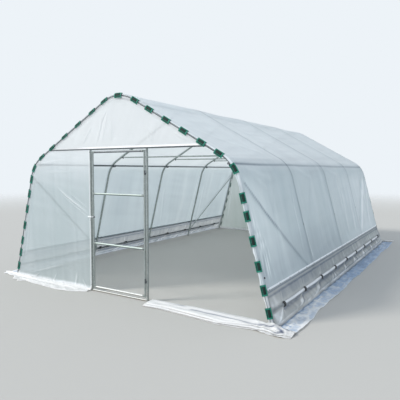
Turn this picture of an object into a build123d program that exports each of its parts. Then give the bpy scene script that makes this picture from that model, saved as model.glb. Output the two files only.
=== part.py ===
from build123d import *
import os
from math import asin, atan2, cos, degrees, hypot, radians, sin, tan

os.makedirs("parts", exist_ok=True)

# Polytunnel greenhouse: five bent tube arches under a plastic film, with a framed door in front.
# The front end faces -Y, +X is the right side seen from the front, and the ground is z = 0.
# Every size is in millimetres.

# Arch line, at the centre of the tube
bay_length = 1500.0
bay_count = 4
foot_half_width = 1978.0
eave_half_width = 1559.0
eave_height = 1598.0
ridge_height = 2479.0
eave_bend_radius = 410.0
ridge_bend_radius = 455.0

# Tube diameters
arch_tube = 32.0
purlin_tube = 25.0
header_tube = 28.0
post_tube = 28.0
tie_tube = 20.0
brace_tube = 20.0
lower_tube = 25.0
door_tube = 25.0
sill_tube = 20.0

# Heights of the frame's members, at their centres
eave_purlin_height = 1600.0
header_height = 1790.0
tie_height = 1735.0
brace_top_height = 1410.0
brace_foot_height = 190.0
rail_height = 345.0
lower_tube_height = 150.0

# Clearances
seat_gap = 0.3
running_gap = 0.3
hinge_stack_gap = 1.0

# Film
film = 2.0
skirt = 3.0
fold_thickness = 15.0
side_reach = 257.0
end_reach = 250.0
flare = 52.0
end_setback = 30.0
fold_inside = 100.0
fold_margin = 12.0

# Side rail over the film
rail_width = 30.0
rail_thickness = 4.0

# Snap clips that hold the film to the end arches
clip_length = 110.0
clip_lip = 3.0
clip_lip_reach = 25.0
clip_end_margin = 12.0
clip_ground_margin = 85.0
left_leg_clips = 7
right_leg_clips = 6
rafter_clips = 6

# Clips on the lower tubes
tube_clip_pitch = 675.0
tube_clip_start = 300.0
tube_clip_width = 40.0
tube_clip_height = 28.0
tube_clip_thickness = 5.0

# Door, seen from the front: latch on the left, hinges on the right
left_post_x = -471.0
right_post_x = 426.0
latch_stile_gap = 35.0
hinge_stile_gap = 38.0
door_bottom_height = 55.0
door_lower_rail_height = 612.0
door_upper_rail_height = 1235.0
door_top_drop = 40.0

# Hinges
hinge_bottom_height = 254.0
hinge_top_drop = 276.0
hinge_forward = 20.0
hinge_pin = 8.0
hinge_eye = 17.0
hinge_leaf = 10.0
hinge_eye_height = 25.0
hinge_lug_height = 24.0

# Turn latch on the latch stile
latch_height = 945.0
latch_left_arm = 75.0
latch_right_arm = 54.0
latch_bar_height = 16.0
latch_bar_thickness = 5.0
latch_post_clearance = 5.5
latch_pin = 10.0
latch_pin_head = 16.0
latch_pin_head_thickness = 2.5
latch_knob = 22.0
latch_knob_depth = 14.0
latch_knob_inset = 10.0

# Values worked out from the sizes above
length = bay_length * bay_count
front_y = -length / 2
rear_y = length / 2
lean = atan2(foot_half_width - eave_half_width, eave_height)
slope = atan2(ridge_height - eave_height, eave_half_width)
leg_normal = degrees(lean)
rafter_normal = 90.0 - degrees(slope)
eave_middle = (leg_normal + rafter_normal) / 2
half_turn = radians(rafter_normal - leg_normal) / 2
arch_radius = arch_tube / 2
film_inner = arch_radius + seat_gap
film_outer = film_inner + film
pane_gap = film / 2 + seat_gap
lower_tube_offset = arch_radius + seat_gap + lower_tube / 2
over_tube = lower_tube_offset + lower_tube / 2 + seat_gap
hinge_heights = (hinge_bottom_height, header_height - hinge_top_drop)


# Geometry of the arch line. Offsets are measured outwards from the tube's centre.

def polar(centre, radius, angle):
    """The point at a radius and an angle in degrees from a centre, in x and z."""
    return (centre[0] + radius * cos(radians(angle)), centre[1] + radius * sin(radians(angle)))


eave_centre = polar((eave_half_width, eave_height), -eave_bend_radius / cos(half_turn), eave_middle)
ridge_centre = (0.0, ridge_height - ridge_bend_radius / cos(slope))


def leg_x(height, offset=0.0):
    """How far out the right leg's line is at a height."""
    return foot_half_width - height * tan(lean) + offset / cos(lean)


def arch_line(offset, low=0.0):
    """The arch's line at an offset, drawn in x and z from the left foot to the right one."""
    eave_x, eave_z = polar((eave_half_width, eave_height), offset / cos(half_turn), eave_middle)
    foot_x = leg_x(low, offset)
    top = ridge_height + offset / cos(slope)
    corners = [(-foot_x, low), (-eave_x, eave_z), (0.0, top), (eave_x, eave_z), (foot_x, low)]
    radii = [eave_bend_radius + offset, ridge_bend_radius + offset, eave_bend_radius + offset]
    return FilletPolyline(*corners, radius=radii)


# Ways of making solids

def at_y(y):
    """An upright plane across the tunnel, with x to the right and z up."""
    return Plane.XZ.offset(-y)


def slab(profile, start, end):
    """A profile drawn in x and z, made solid from one y to another."""
    return extrude(at_y(end) * profile, amount=end - start, dir=(0.0, -1.0, 0.0))


def plate(outline, low, thickness):
    """A flat plate with an outline drawn in x and y."""
    face = Plane.XY.offset(low) * Polygon(*outline, align=None)
    return extrude(face, amount=thickness, dir=(0.0, 0.0, 1.0))


def rod(start, end, diameter):
    """A straight round bar between two points."""
    run = Vector(*end) - Vector(*start)
    bar = Cylinder(diameter / 2, run.length, align=(Align.CENTER, Align.CENTER, Align.MIN))
    return Plane(origin=start, z_dir=run) * bar


def ring_sector(centre, inner, outer, start, end):
    """A curved strip between two radii and two angles in degrees."""
    arcs = [CenterArc(centre, radius, start, end - start) for radius in (inner, outer)]
    ends = [Line(arcs[0] @ place, arcs[1] @ place) for place in (0, 1)]
    return make_face(arcs + ends)


def thick_line(points, thickness):
    """A bent strip whose right-hand side follows the points."""
    outer = []
    for index, (x, z) in enumerate(points):
        before = points[max(index - 1, 0)]
        after = points[min(index + 1, len(points) - 1)]
        normals = []
        for (x1, z1), (x2, z2) in ((before, (x, z)), ((x, z), after)):
            run = hypot(x2 - x1, z2 - z1)
            if run:
                normals.append(((z1 - z2) / run, (x2 - x1) / run))
        across = (sum(n[0] for n in normals), sum(n[1] for n in normals))
        scale = thickness * len(normals) / (across[0] ** 2 + across[1] ** 2)
        outer.append((x + across[0] * scale, z + across[1] * scale))
    return Polygon(*points, *reversed(outer), align=None)


def spaced(first, last, count):
    """Evenly spaced places from the first to the last."""
    return [first + (last - first) * index / (count - 1) for index in range(count)]


def left_of(solid):
    """The same piece on the left side."""
    return mirror(solid, about=Plane.YZ)


def save(name, *solids):
    """Write one node, as its solids."""
    shape = solids[0] if len(solids) == 1 else Compound(children=list(solids))
    export_step(shape, f"parts/{name}.step")


# Frame

def bent_tube(y, diameter):
    """A round bar along the arch line, with its feet cut level at the ground."""
    path = at_y(y) * arch_line(0.0, low=-diameter)
    bar = sweep(Plane(origin=path @ 0, z_dir=path % 0) * Circle(diameter / 2), path=path)
    return split(bar, bisect_by=Plane.XY, keep=Keep.TOP)


def crossbar(y, height, diameter):
    """A level bar across the tunnel, cut to fit inside the arch at each end."""
    bar = rod((-foot_half_width, y, height), (foot_half_width, y, height), diameter)
    line = arch_line(0.0)
    inside = slab(make_face([*line.edges(), Line(line @ 1, line @ 0)]), y - diameter, y + diameter)
    return (bar & inside) - bent_tube(y, arch_tube + 2 * seat_gap)


def along(x, z, diameter, start, end):
    """A bar along the tunnel."""
    return rod((x, start, z), (x, end, z), diameter)


def upright(x, y, bottom, top, diameter):
    """A bar standing upright."""
    return rod((x, y, bottom), (x, y, top), diameter)


def frame():
    """Arches, purlins, headers, posts, cross ties and braces."""
    for index in range(bay_count + 1):
        name = {0: "front_arch", bay_count: "rear_arch"}.get(index, f"arch_{index + 1}")
        save(name, bent_tube(front_y + index * bay_length, arch_tube))

    inside = arch_radius + seat_gap + purlin_tube / 2
    ridge_z = ridge_centre[1] + ridge_bend_radius - inside
    eave_run = eave_bend_radius - inside
    eave_angle = degrees(asin((eave_purlin_height - eave_centre[1]) / eave_run))
    eave_x, eave_z = polar(eave_centre, eave_run, eave_angle)
    ends = (front_y + pane_gap, rear_y - pane_gap)
    save("ridge_purlin", along(0.0, ridge_z, purlin_tube, *ends))
    right_purlin = along(eave_x, eave_z, purlin_tube, *ends)
    save("right_eave_purlin", right_purlin)
    save("left_eave_purlin", left_of(right_purlin))

    save("front_header", crossbar(front_y, header_height, header_tube))
    save("rear_header", crossbar(rear_y, header_height, header_tube))
    ties = [crossbar(front_y + index * bay_length, tie_height, tie_tube)
            for index in range(1, bay_count)]
    save("cross_ties", *ties)

    post_top = header_height - header_tube / 2 - seat_gap
    save("front_left_post", upright(left_post_x, front_y, 0.0, post_top, post_tube))
    save("front_right_post", upright(right_post_x, front_y, 0.0, post_top, post_tube))
    save("rear_left_post", upright(left_post_x, rear_y, 0.0, post_top, post_tube))
    save("rear_right_post", upright(right_post_x, rear_y, 0.0, post_top, post_tube))
    sill_inset = post_tube / 2 + seat_gap
    save("door_sill", rod((left_post_x + sill_inset, front_y, sill_tube / 2),
                          (right_post_x - sill_inset, front_y, sill_tube / 2), sill_tube))

    brace_offset = -(arch_radius + seat_gap + brace_tube / 2)
    top_x = leg_x(brace_top_height, brace_offset)
    foot_x = leg_x(brace_foot_height, brace_offset)
    braces = []
    for end_y, inward in ((front_y, 1.0), (rear_y, -1.0)):
        start = (top_x, end_y + inward * (pane_gap + brace_tube / 2), brace_top_height)
        finish = (foot_x, end_y + inward * bay_length, brace_foot_height)
        braces.append(rod(start, finish, brace_tube))
    save("right_braces", *braces)
    save("left_braces", *[left_of(brace) for brace in braces])


# Film over the arches

def leg_strip(low, high, inner, outer, start, end):
    """A flat strip along the outside of the right leg, between two heights."""
    corners = [(leg_x(low, inner), low), (leg_x(high, inner), high),
               (leg_x(high, outer), high), (leg_x(low, outer), low)]
    return slab(Polygon(*corners, align=None), start, end)


def rafter_strip(inner, outer):
    """The right roof slope between its two bends."""
    along_slope = (cos(radians(rafter_normal + 90)), sin(radians(rafter_normal + 90)))
    corners = []
    for offset in (inner, outer):
        low = polar(eave_centre, eave_bend_radius + offset, rafter_normal)
        high = polar(ridge_centre, ridge_bend_radius + offset, rafter_normal)
        pair = [(low[0] + along_slope[0] * seat_gap, low[1] + along_slope[1] * seat_gap),
                (high[0] - along_slope[0] * seat_gap, high[1] - along_slope[1] * seat_gap)]
        corners += pair if offset == inner else reversed(pair)
    return slab(Polygon(*corners, align=None), front_y, rear_y)


def cover():
    """The film from rail to rail, as the flat and the bent stretches of one sheet."""
    wall_top = polar(eave_centre, eave_bend_radius + film_inner, leg_normal)[1] - film
    wall = leg_strip(rail_height, wall_top, film_inner, film_outer, front_y, rear_y)
    eave = slab(ring_sector(eave_centre, eave_bend_radius + film_inner,
                            eave_bend_radius + film_outer, leg_normal, rafter_normal),
                front_y, rear_y)
    ridge = slab(ring_sector(ridge_centre, ridge_bend_radius + film_inner,
                             ridge_bend_radius + film_outer, rafter_normal, 180 - rafter_normal),
                 front_y, rear_y)
    roof = rafter_strip(film_inner, film_outer)
    for name, solid in (("wall_film", wall), ("eave_film", eave), ("roof_film", roof)):
        save(f"right_{name}", solid)
        save(f"left_{name}", left_of(solid))
    save("ridge_film", ridge)


def sides():
    """Rails, lower tubes, the film below the rails and the clips that hold it."""
    start = front_y + end_setback
    end = rear_y - end_setback
    rail = leg_strip(rail_height - rail_width / 2, rail_height + rail_width / 2,
                     film_outer + seat_gap, film_outer + seat_gap + rail_thickness, start, end)
    save("right_side_rail", rail)
    save("left_side_rail", left_of(rail))

    tube = along(leg_x(lower_tube_height, lower_tube_offset), lower_tube_height, lower_tube,
                 start, end)
    save("right_lower_tube", tube)
    save("left_lower_tube", left_of(tube))

    top = rail_height - seat_gap - film * sin(lean)
    bend = rail_height - rail_width
    above = lower_tube_height + lower_tube / 2
    below = lower_tube_height - lower_tube / 2
    line = [(foot_half_width + side_reach, 0.0), (foot_half_width + flare, 0.0),
            (leg_x(below, over_tube), below), (leg_x(above, over_tube), above),
            (leg_x(bend, film_inner), bend), (leg_x(top, film_inner), top)]
    sheet = slab(thick_line(list(reversed(line)), film), start, end)
    save("right_roll_film", sheet)
    save("left_roll_film", left_of(sheet))

    inner = over_tube + film + seat_gap
    clips = []
    for index in range(int((length - 2 * tube_clip_start) // tube_clip_pitch) + 1):
        y = front_y + tube_clip_start + index * tube_clip_pitch
        clips.append(leg_strip(lower_tube_height - tube_clip_height / 2,
                               lower_tube_height + tube_clip_height / 2,
                               inner, inner + tube_clip_thickness,
                               y - tube_clip_width / 2, y + tube_clip_width / 2))
    save("tube_clips", *clips, *[left_of(clip) for clip in clips])


# Film on the two ends

def end_area(left, right, bottom, top):
    """The part of an arch's inside that lies between two sides and two heights."""
    line = arch_line(-film_inner)
    inside = make_face([*line.edges(), Line(line @ 1, line @ 0)])
    window = Pos((left + right) / 2, (bottom + top) / 2) * Rectangle(right - left, top - bottom)
    return inside & window


def end_panes(y, areas):
    """Sheets in the middle plane of an end arch."""
    return [slab(area, y - film / 2, y + film / 2) for area in areas]


def end_films():
    """The gable, the front left panel and the whole of the rear end."""
    beside = post_tube / 2 + seat_gap
    under = header_height - header_tube / 2 - seat_gap
    over = header_height + header_tube / 2 + seat_gap
    wide = foot_half_width
    gable = end_area(-wide, wide, over, ridge_height)
    left = end_area(-wide, left_post_x - beside, 0.0, under)
    middle = end_area(left_post_x + beside, right_post_x - beside, 0.0, under)
    right = end_area(right_post_x + beside, wide, 0.0, under)
    save("front_gable_film", *end_panes(front_y, [gable]))
    save("front_left_film", *end_panes(front_y, [left]))
    save("rear_end_film", *end_panes(rear_y, [gable, left, middle, right]))


def ground_strips():
    """The film that lies on the ground in front of and behind the two ends."""
    arch_front = front_y - arch_radius - seat_gap
    front_edge = front_y - end_reach
    side = foot_half_width + side_reach
    post_side = left_post_x - post_tube / 2
    save("front_left_skirt", plate([(-side, front_edge), (post_side, front_edge),
                                    (post_side, arch_front), (-side, arch_front)], 0.0, skirt))
    inner_left = right_post_x + post_tube / 2 + fold_margin
    inner_right = foot_half_width - arch_tube - fold_margin
    fold_back = front_y + fold_inside
    save("dropped_front_film", plate([(inner_left, front_edge), (side, front_edge),
                                      (side, arch_front), (inner_right, arch_front),
                                      (inner_right, fold_back), (inner_left, fold_back)],
                                     0.0, fold_thickness))
    arch_back = rear_y + arch_radius + seat_gap
    rear_edge = rear_y + end_reach
    save("rear_skirt", plate([(-side, arch_back), (side, arch_back),
                              (side, rear_edge), (-side, rear_edge)], 0.0, skirt))


# Snap clips on the end arches

def clip_section(plane):
    """A clip's section: half round the tube's face, with a flat lip over the cover film."""
    outer = film_outer + seat_gap + clip_lip
    lip_inner = film_outer + seat_gap
    ring = Circle(outer) - Circle(film_inner)
    front_half = Pos(0.0, pane_gap + outer / 2) * Rectangle(2 * outer, outer)
    lip_outer = (outer ** 2 - pane_gap ** 2) ** 0.5
    lip = Pos((lip_inner + lip_outer) / 2, (pane_gap - clip_lip_reach) / 2) * Rectangle(
        lip_outer - lip_inner, pane_gap + clip_lip_reach)
    return plane * ((ring & front_half) + lip)


def clip_plane(place, normal, y, facing):
    """The plane across the arch at a place, with x outwards and y towards the clip's face."""
    turn = radians(normal)
    return Plane(origin=(place[0], y, place[1]), x_dir=(cos(turn), 0.0, sin(turn)),
                 z_dir=(-facing * sin(turn), 0.0, facing * cos(turn)))


def straight_clip(place, normal, y, facing):
    """A clip on a straight stretch of the arch."""
    return extrude(clip_section(clip_plane(place, normal, y, facing)),
                   amount=clip_length / 2, both=True)


def bent_clip(centre, radius, normal, y, facing):
    """A clip that follows a bend of the arch."""
    half_sweep = degrees(clip_length / 2 / radius)
    start = normal - half_sweep
    section = clip_section(clip_plane(polar(centre, radius, start), start, y, facing))
    hub = Axis((centre[0], y, centre[1]), (0.0, -1.0, 0.0))
    return revolve(section, axis=hub, revolution_arc=2 * half_sweep)


def side_clips(leg_count, y, facing):
    """The clips on the right leg, eave and rafter of an end arch."""
    margin = clip_end_margin + clip_length / 2
    leg_end = polar(eave_centre, eave_bend_radius, leg_normal)[1] - margin * cos(lean)
    first = clip_ground_margin + clip_length / 2 * cos(lean)
    clips = [straight_clip((leg_x(height), height), leg_normal, y, facing)
             for height in spaced(first, leg_end, leg_count)]
    clips.append(bent_clip(eave_centre, eave_bend_radius, eave_middle, y, facing))
    low = polar(eave_centre, eave_bend_radius, rafter_normal)
    high = polar(ridge_centre, ridge_bend_radius, rafter_normal)
    run = hypot(low[0] - high[0], high[1] - low[1])
    for distance in spaced(margin, run - margin, rafter_clips):
        place = polar(low, distance, rafter_normal + 90)
        clips.append(straight_clip(place, rafter_normal, y, facing))
    return clips


def end_clips(y, facing):
    """All the clips of an end arch, notched where they pass the header."""
    right = side_clips(right_leg_clips, y, facing)
    left = [left_of(clip) for clip in side_clips(left_leg_clips, y, facing)]
    top = bent_clip(ridge_centre, ridge_bend_radius, 90.0, y, facing)
    around_header = rod((-foot_half_width, y, header_height), (foot_half_width, y, header_height),
                        header_tube + 2 * seat_gap)
    return [clip - around_header for clip in right + left + [top]]


# Door

def door():
    """The framed door with its hinges, and the pins on the post that carry it."""
    hinge_x = right_post_x - hinge_stile_gap
    latch_x = left_post_x + latch_stile_gap
    top_height = header_height - door_top_drop
    bottom = door_bottom_height - door_tube / 2
    top = top_height + door_tube / 2
    save("door_hinge_stile", upright(hinge_x, front_y, bottom, top, door_tube))
    save("door_latch_stile", upright(latch_x, front_y, bottom, top, door_tube))
    inset = door_tube / 2 + seat_gap
    rails = {"door_bottom_rail": door_bottom_height, "door_lower_rail": door_lower_rail_height,
             "door_upper_rail": door_upper_rail_height, "door_top_rail": top_height}
    for name, height in rails.items():
        save(name, rod((latch_x + inset, front_y, height),
                       (hinge_x - inset, front_y, height), door_tube))

    pin_x = (hinge_x + right_post_x) / 2
    pin_y = front_y - hinge_forward
    pins = []
    eyes = []
    for height in hinge_heights:
        seat = height - hinge_eye_height / 2
        pins.append(hinge_arm((pin_x, pin_y), (right_post_x, front_y), post_tube,
                              seat - hinge_stack_gap - hinge_lug_height, hinge_lug_height)
                    + upright(pin_x, pin_y, seat - hinge_stack_gap - hinge_lug_height,
                              seat + hinge_eye_height, hinge_pin))
        eyes.append(hinge_arm((pin_x, pin_y), (hinge_x, front_y), door_tube,
                              seat, hinge_eye_height)
                    - upright(pin_x, pin_y, seat - hinge_eye_height,
                              seat + 2 * hinge_eye_height, hinge_pin + 2 * running_gap))
    save("hinge_pins", *pins)
    save("hinge_eyes", *eyes)
    latch(latch_x)


def hinge_arm(pin, tube, tube_diameter, low, height):
    """A round boss at the pin with a leaf that reaches the tube beside it."""
    reach = hypot(tube[0] - pin[0], tube[1] - pin[1])
    turn = degrees(atan2(tube[1] - pin[1], tube[0] - pin[0]))
    leaf = Rot(0, 0, turn) * (Pos(reach / 2, 0) * Rectangle(reach, hinge_leaf))
    outline = Pos(*pin) * (Circle(hinge_eye / 2) + leaf)
    arm = extrude(Plane.XY.offset(low) * outline, amount=height)
    return arm - upright(*tube, low - height, low + 2 * height, tube_diameter + 2 * seat_gap)


def latch(latch_x):
    """A bar that turns on a pin in the latch stile, in front of the post, with a knob."""
    bar_back = front_y - post_tube / 2 - latch_post_clearance
    bar_front = bar_back - latch_bar_thickness
    head_back = bar_front - seat_gap
    head_front = head_back - latch_pin_head_thickness
    shaft = rod((latch_x, front_y, latch_height), (latch_x, head_front, latch_height), latch_pin)
    head = rod((latch_x, head_back, latch_height), (latch_x, head_front, latch_height),
               latch_pin_head)
    stile = upright(latch_x, front_y, 0.0, header_height, door_tube + 2 * seat_gap)
    pin = shaft + head - stile
    save("latch_pin", pin)

    bar_middle = latch_x + (latch_right_arm - latch_left_arm) / 2
    bar = Pos(bar_middle, latch_height) * Rectangle(latch_left_arm + latch_right_arm,
                                                    latch_bar_height)
    hole = Pos(latch_x, latch_height) * Circle(latch_pin / 2 + running_gap)
    save("latch_bar", slab(bar - hole, bar_front, bar_back))
    knob_x = latch_x + latch_right_arm - latch_knob_inset
    save("latch_knob", rod((knob_x, bar_front, latch_height),
                           (knob_x, bar_front - latch_knob_depth, latch_height), latch_knob))


frame()
cover()
sides()
end_films()
ground_strips()
save("front_film_clips", *end_clips(front_y, -1.0))
save("rear_film_clips", *end_clips(rear_y, 1.0))
door()
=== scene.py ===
from math import atan2, cos, hypot, pi, radians, sin, tan
import bmesh
import bpy
import numpy as np
from mathutils import Euler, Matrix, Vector


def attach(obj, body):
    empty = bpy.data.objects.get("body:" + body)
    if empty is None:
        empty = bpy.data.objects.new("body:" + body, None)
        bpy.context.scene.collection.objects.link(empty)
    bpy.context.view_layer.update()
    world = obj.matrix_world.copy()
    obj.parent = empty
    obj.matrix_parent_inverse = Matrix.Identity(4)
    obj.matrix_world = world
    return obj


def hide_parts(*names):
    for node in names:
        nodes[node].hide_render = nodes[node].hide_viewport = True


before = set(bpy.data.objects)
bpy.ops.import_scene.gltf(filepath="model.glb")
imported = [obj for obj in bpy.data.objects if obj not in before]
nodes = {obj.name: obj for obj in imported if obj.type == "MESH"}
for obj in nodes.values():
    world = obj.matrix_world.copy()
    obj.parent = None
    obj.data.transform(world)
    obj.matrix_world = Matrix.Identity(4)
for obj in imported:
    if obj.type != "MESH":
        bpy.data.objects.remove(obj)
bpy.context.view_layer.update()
scene = bpy.context.scene

# Polytunnel greenhouse: five galvanised arches under a translucent film, in metres.

# Arch line, at the centre of the tube
FRONT_Y, REAR_Y, BAY = -3.0, 3.0, 1.5
INNER_ARCHES = [FRONT_Y + BAY * count for count in (1, 2, 3)]
FOOT_X, EAVE_X, EAVE_Z, RIDGE_Z = 1.978, 1.559, 1.598, 2.479
EAVE_BEND, RIDGE_BEND = 0.410, 0.455
LEAN = atan2(FOOT_X - EAVE_X, EAVE_Z)
SLOPE = atan2(RIDGE_Z - EAVE_Z, EAVE_X)
RAFTER_TURN = pi / 2 - SLOPE
HALF_TURN = (RAFTER_TURN - LEAN) / 2
EAVE_MIDDLE = (RAFTER_TURN + LEAN) / 2
EAVE_CENTRE = (EAVE_X - EAVE_BEND / cos(HALF_TURN) * cos(EAVE_MIDDLE),
               EAVE_Z - EAVE_BEND / cos(HALF_TURN) * sin(EAVE_MIDDLE))
RIDGE_CENTRE_Z = RIDGE_Z - RIDGE_BEND / cos(SLOPE)
RAFTER_TOP = (RIDGE_BEND * cos(RAFTER_TURN), RIDGE_CENTRE_Z + RIDGE_BEND * sin(RAFTER_TURN))
RAFTER_FOOT, LEG_TOP = [(EAVE_CENTRE[0] + EAVE_BEND * cos(turn), EAVE_CENTRE[1] + EAVE_BEND * sin(turn))
                        for turn in (RAFTER_TURN, LEAN)]

# Lengths of the arch line's parts, and the stations from the ridge at which eave, leg and foot are
RIDGE_ARC = RIDGE_BEND * SLOPE
RAFTER_RUN = hypot(RAFTER_FOOT[0] - RAFTER_TOP[0], RAFTER_TOP[1] - RAFTER_FOOT[1])
EAVE_ARC = EAVE_BEND * (RAFTER_TURN - LEAN)
EAVE_START = RIDGE_ARC + RAFTER_RUN
LEG_START = EAVE_START + EAVE_ARC
HALF_GIRTH = LEG_START + LEG_TOP[1] / cos(LEAN)

# Members that the film meets
HEADER_Z, HEADER_R = 1.790, 0.014
LEFT_POST_X, RIGHT_POST_X, POST_R = -0.471, 0.426, 0.014
RAIL_Z, LOWER_TUBE_Z, LOWER_TUBE_OUT = 0.345, 0.150, 0.0288
FIRST_TUBE_CLIP, TUBE_CLIP_PITCH = 0.300, 0.675
TUBE_CLIP_Y = [FRONT_Y + FIRST_TUBE_CLIP + TUBE_CLIP_PITCH * index for index in range(9)]
PURLINS, PURLIN_CLAMP_R = [(1.4712, 1.600), (-1.4712, 1.600), (0.0, 2.3826)], 0.0127
TIE_X, TIE_Z, TIE_CLAMP_R = 1.272, 1.735, 0.0102
BRACE_TOP_Z, BRACE_FOOT_Z = 1.42, 0.20
STILES_X, DOOR_RAILS_Z = (-0.436, 0.388), (0.055, 0.612, 1.235, 1.750)

# Film: how far it lies out from the arch line or inside it at the ends, how far it reaches on the
# ground, and between which lengths down from the rail a side curtain takes its painted sky tint
FILM_OUT, GABLE_INSET, REAR_INSET = 0.0173, 0.0105, 0.012
GROUND_SIDE_X, GROUND_FLARE_X, LOWEST_FILM = 2.235, 2.030, 0.002
LYING_START, LYING_FULL = 0.432, 0.444

# Bolts and screws: heights on the posts and legs, their pitch on the rail, and how far out it is
POST_BOLTS_Z, LEG_BOLT_Z, SCREW_Z = (1.752, 0.075, 0.9), 0.84, 0.462
RAIL_BOLT_PITCH, RAIL_FACE_OUT = 0.2940, 0.0227


# Camera, at the photograph's viewing angle: its place, its lens, and its turns in degrees
EYE, LENS, SENSOR = (3.551, -6.902, 1.532), 38.98, 36.0
LOOKS_DOWN, ROLLED, TURNED = 3.96, -0.11, 31.74


def set_camera():
    """The camera at standing height, off the front right corner."""
    lens = bpy.data.cameras.new("camera")
    lens.sensor_width = SENSOR
    lens.lens = LENS
    lens.clip_end = 300.0
    camera = bpy.data.objects.new("camera", lens)
    camera.location = EYE
    camera.rotation_euler = (radians(90.0 - LOOKS_DOWN), radians(ROLLED), radians(TURNED))
    scene.collection.objects.link(camera)
    scene.camera = camera


set_camera()
scene.view_settings.view_transform = "Standard"


# Node helpers

def add(tree, kind, inputs=None, **settings):
    """A node of one kind, with its settings made and its inputs filled or linked."""
    node = tree.nodes.new(kind)
    for name, value in settings.items():
        setattr(node, name, value)
    for name, value in (inputs or {}).items():
        if isinstance(value, bpy.types.NodeSocket):
            tree.links.new(value, node.inputs[name])
        else:
            node.inputs[name].default_value = value
    return node


def colour(red, green, blue):
    """A colour written in screen values from 0 to 255."""
    def linear(value):
        share = value / 255
        return share / 12.92 if share <= 0.04045 else ((share + 0.055) / 1.055) ** 2.4
    return (linear(red), linear(green), linear(blue), 1.0)


def mixed(tree, share, first, second):
    """Two colours mixed by a share."""
    return add(tree, "ShaderNodeMix", {0: share, 6: first, 7: second}, data_type="RGBA").outputs[2]


def maths(tree, operation, first, second=0.0, clamp=False):
    """One sum."""
    return add(tree, "ShaderNodeMath", {0: first, 1: second},
               operation=operation, use_clamp=clamp).outputs[0]


def plus(tree, first, second):
    """Two values added."""
    return maths(tree, "ADD", first, second)


def times(tree, first, second):
    """Two values multiplied."""
    return maths(tree, "MULTIPLY", first, second)


def triple(tree, x=0.0, y=0.0, z=0.0):
    """Three values as one."""
    return add(tree, "ShaderNodeCombineXYZ", {"X": x, "Y": y, "Z": z}).outputs[0]


def part_of(tree, place, axis):
    """One of the three values of a place."""
    return add(tree, "ShaderNodeSeparateXYZ", {"Vector": place}).outputs[axis]


def ranged(tree, value, low, high, new_low=0.0, new_high=1.0, **settings):
    """A value moved from one range to another."""
    return add(tree, "ShaderNodeMapRange",
               {"Value": value, "From Min": low, "From Max": high,
                "To Min": new_low, "To Max": new_high}, **settings).outputs["Result"]


def noise(tree, place, scale, **more):
    """Soft noise from 0 to 1, with the node's other inputs given by name."""
    inputs = {name.capitalize(): value for name, value in more.items()}
    return add(tree, "ShaderNodeTexNoise", {"Vector": place, "Scale": scale, **inputs}).outputs["Fac"]


# Effects that several finishes share

def effect_group(name, values, results):
    """An empty shader node group with named inputs and outputs."""
    group = bpy.data.node_groups.new(name, "ShaderNodeTree")
    group.interface.new_socket("Vector", in_out="INPUT", socket_type="NodeSocketVector")
    for label, value in values.items():
        socket = group.interface.new_socket(label, in_out="INPUT", socket_type="NodeSocketFloat")
        socket.default_value = value
    for label in results:
        group.interface.new_socket(label, in_out="OUTPUT", socket_type="NodeSocketFloat")
    given, result = group.nodes.new("NodeGroupInput"), group.nodes.new("NodeGroupOutput")
    return group, given.outputs, result.inputs


def make_spangle():
    """The crystal pattern and dull streaks of hot dip zinc."""
    group, given, result = effect_group("zinc spangle", {"Scale": 60.0}, ("Shade", "Height"))
    place = given["Vector"]
    crystals = add(group, "ShaderNodeTexVoronoi", {"Vector": place, "Scale": given["Scale"]})
    shade = add(group, "ShaderNodeSeparateColor", {"Color": crystals.outputs["Color"]}).outputs["Red"]
    cloud = noise(group, place, 7.0, detail=5.0, roughness=0.65)
    grain = noise(group, place, 240.0, detail=3.0)
    both = plus(group, times(group, shade, 0.45), times(group, cloud, 0.75))
    group.links.new(maths(group, "SUBTRACT", both, 0.10, clamp=True), result["Shade"])
    group.links.new(plus(group, times(group, shade, 0.4), times(group, grain, 0.6)), result["Height"])
    return group


def make_crinkle():
    """Fine crinkles of a thin film, drawn out along one direction, and its milky clouds."""
    group, given, result = effect_group(
        "film crinkle", {"Scale": 9.0, "Stretch": 0.25}, ("Height", "Haze"))
    drawn = add(group, "ShaderNodeVectorMath",
                {0: given["Vector"], 1: triple(group, 1.0, given["Stretch"], 1.0)},
                operation="MULTIPLY").outputs[0]
    broad = noise(group, drawn, given["Scale"], detail=4.0, distortion=0.6)
    fine = noise(group, drawn, times(group, given["Scale"], 6.0), detail=2.0, distortion=0.8)
    group.links.new(plus(group, broad, times(group, fine, 0.35)), result["Height"])
    group.links.new(ranged(group, noise(group, drawn, 1.4, detail=3.0), 0.3, 0.7), result["Haze"])
    return group


def make_dust():
    """How much dry soil clings to a piece, most near the ground."""
    group, given, result = effect_group("ground dust", {"Reach": 0.12}, ("Dust",))
    low = ranged(group, part_of(group, given["Vector"], "Z"), 0.0, given["Reach"], 1.0, 0.0)
    spots = noise(group, given["Vector"], 22.0, detail=5.0, roughness=0.7)
    group.links.new(times(group, low, ranged(group, spots, 0.45, 0.75)), result["Dust"])
    return group


SPANGLE, CRINKLE, DUST = make_spangle(), make_crinkle(), make_dust()


# Finishes, with their colours in screen values

def new_material(name):
    """A material with a plain shader, its node tree, and places measured on the piece."""
    material = bpy.data.materials.new(name)
    material.use_nodes = True
    tree = material.node_tree
    tree.nodes.clear()
    shader = add(tree, "ShaderNodeBsdfPrincipled")
    output = add(tree, "ShaderNodeOutputMaterial", {"Surface": shader.outputs[0]})
    return material, tree, shader, output, add(tree, "ShaderNodeTexCoord").outputs["Object"]


def use_group(tree, group, **inputs):
    """One of the shared effects, placed in a material with its own values."""
    return add(tree, "ShaderNodeGroup", inputs, node_tree=group).outputs


def soiled(tree, shown, place, reach, strength):
    """A colour under dry soil up to some height."""
    soil = use_group(tree, DUST, Vector=place, Reach=reach)
    return mixed(tree, times(tree, soil["Dust"], strength), shown, colour(150, 128, 104))


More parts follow.
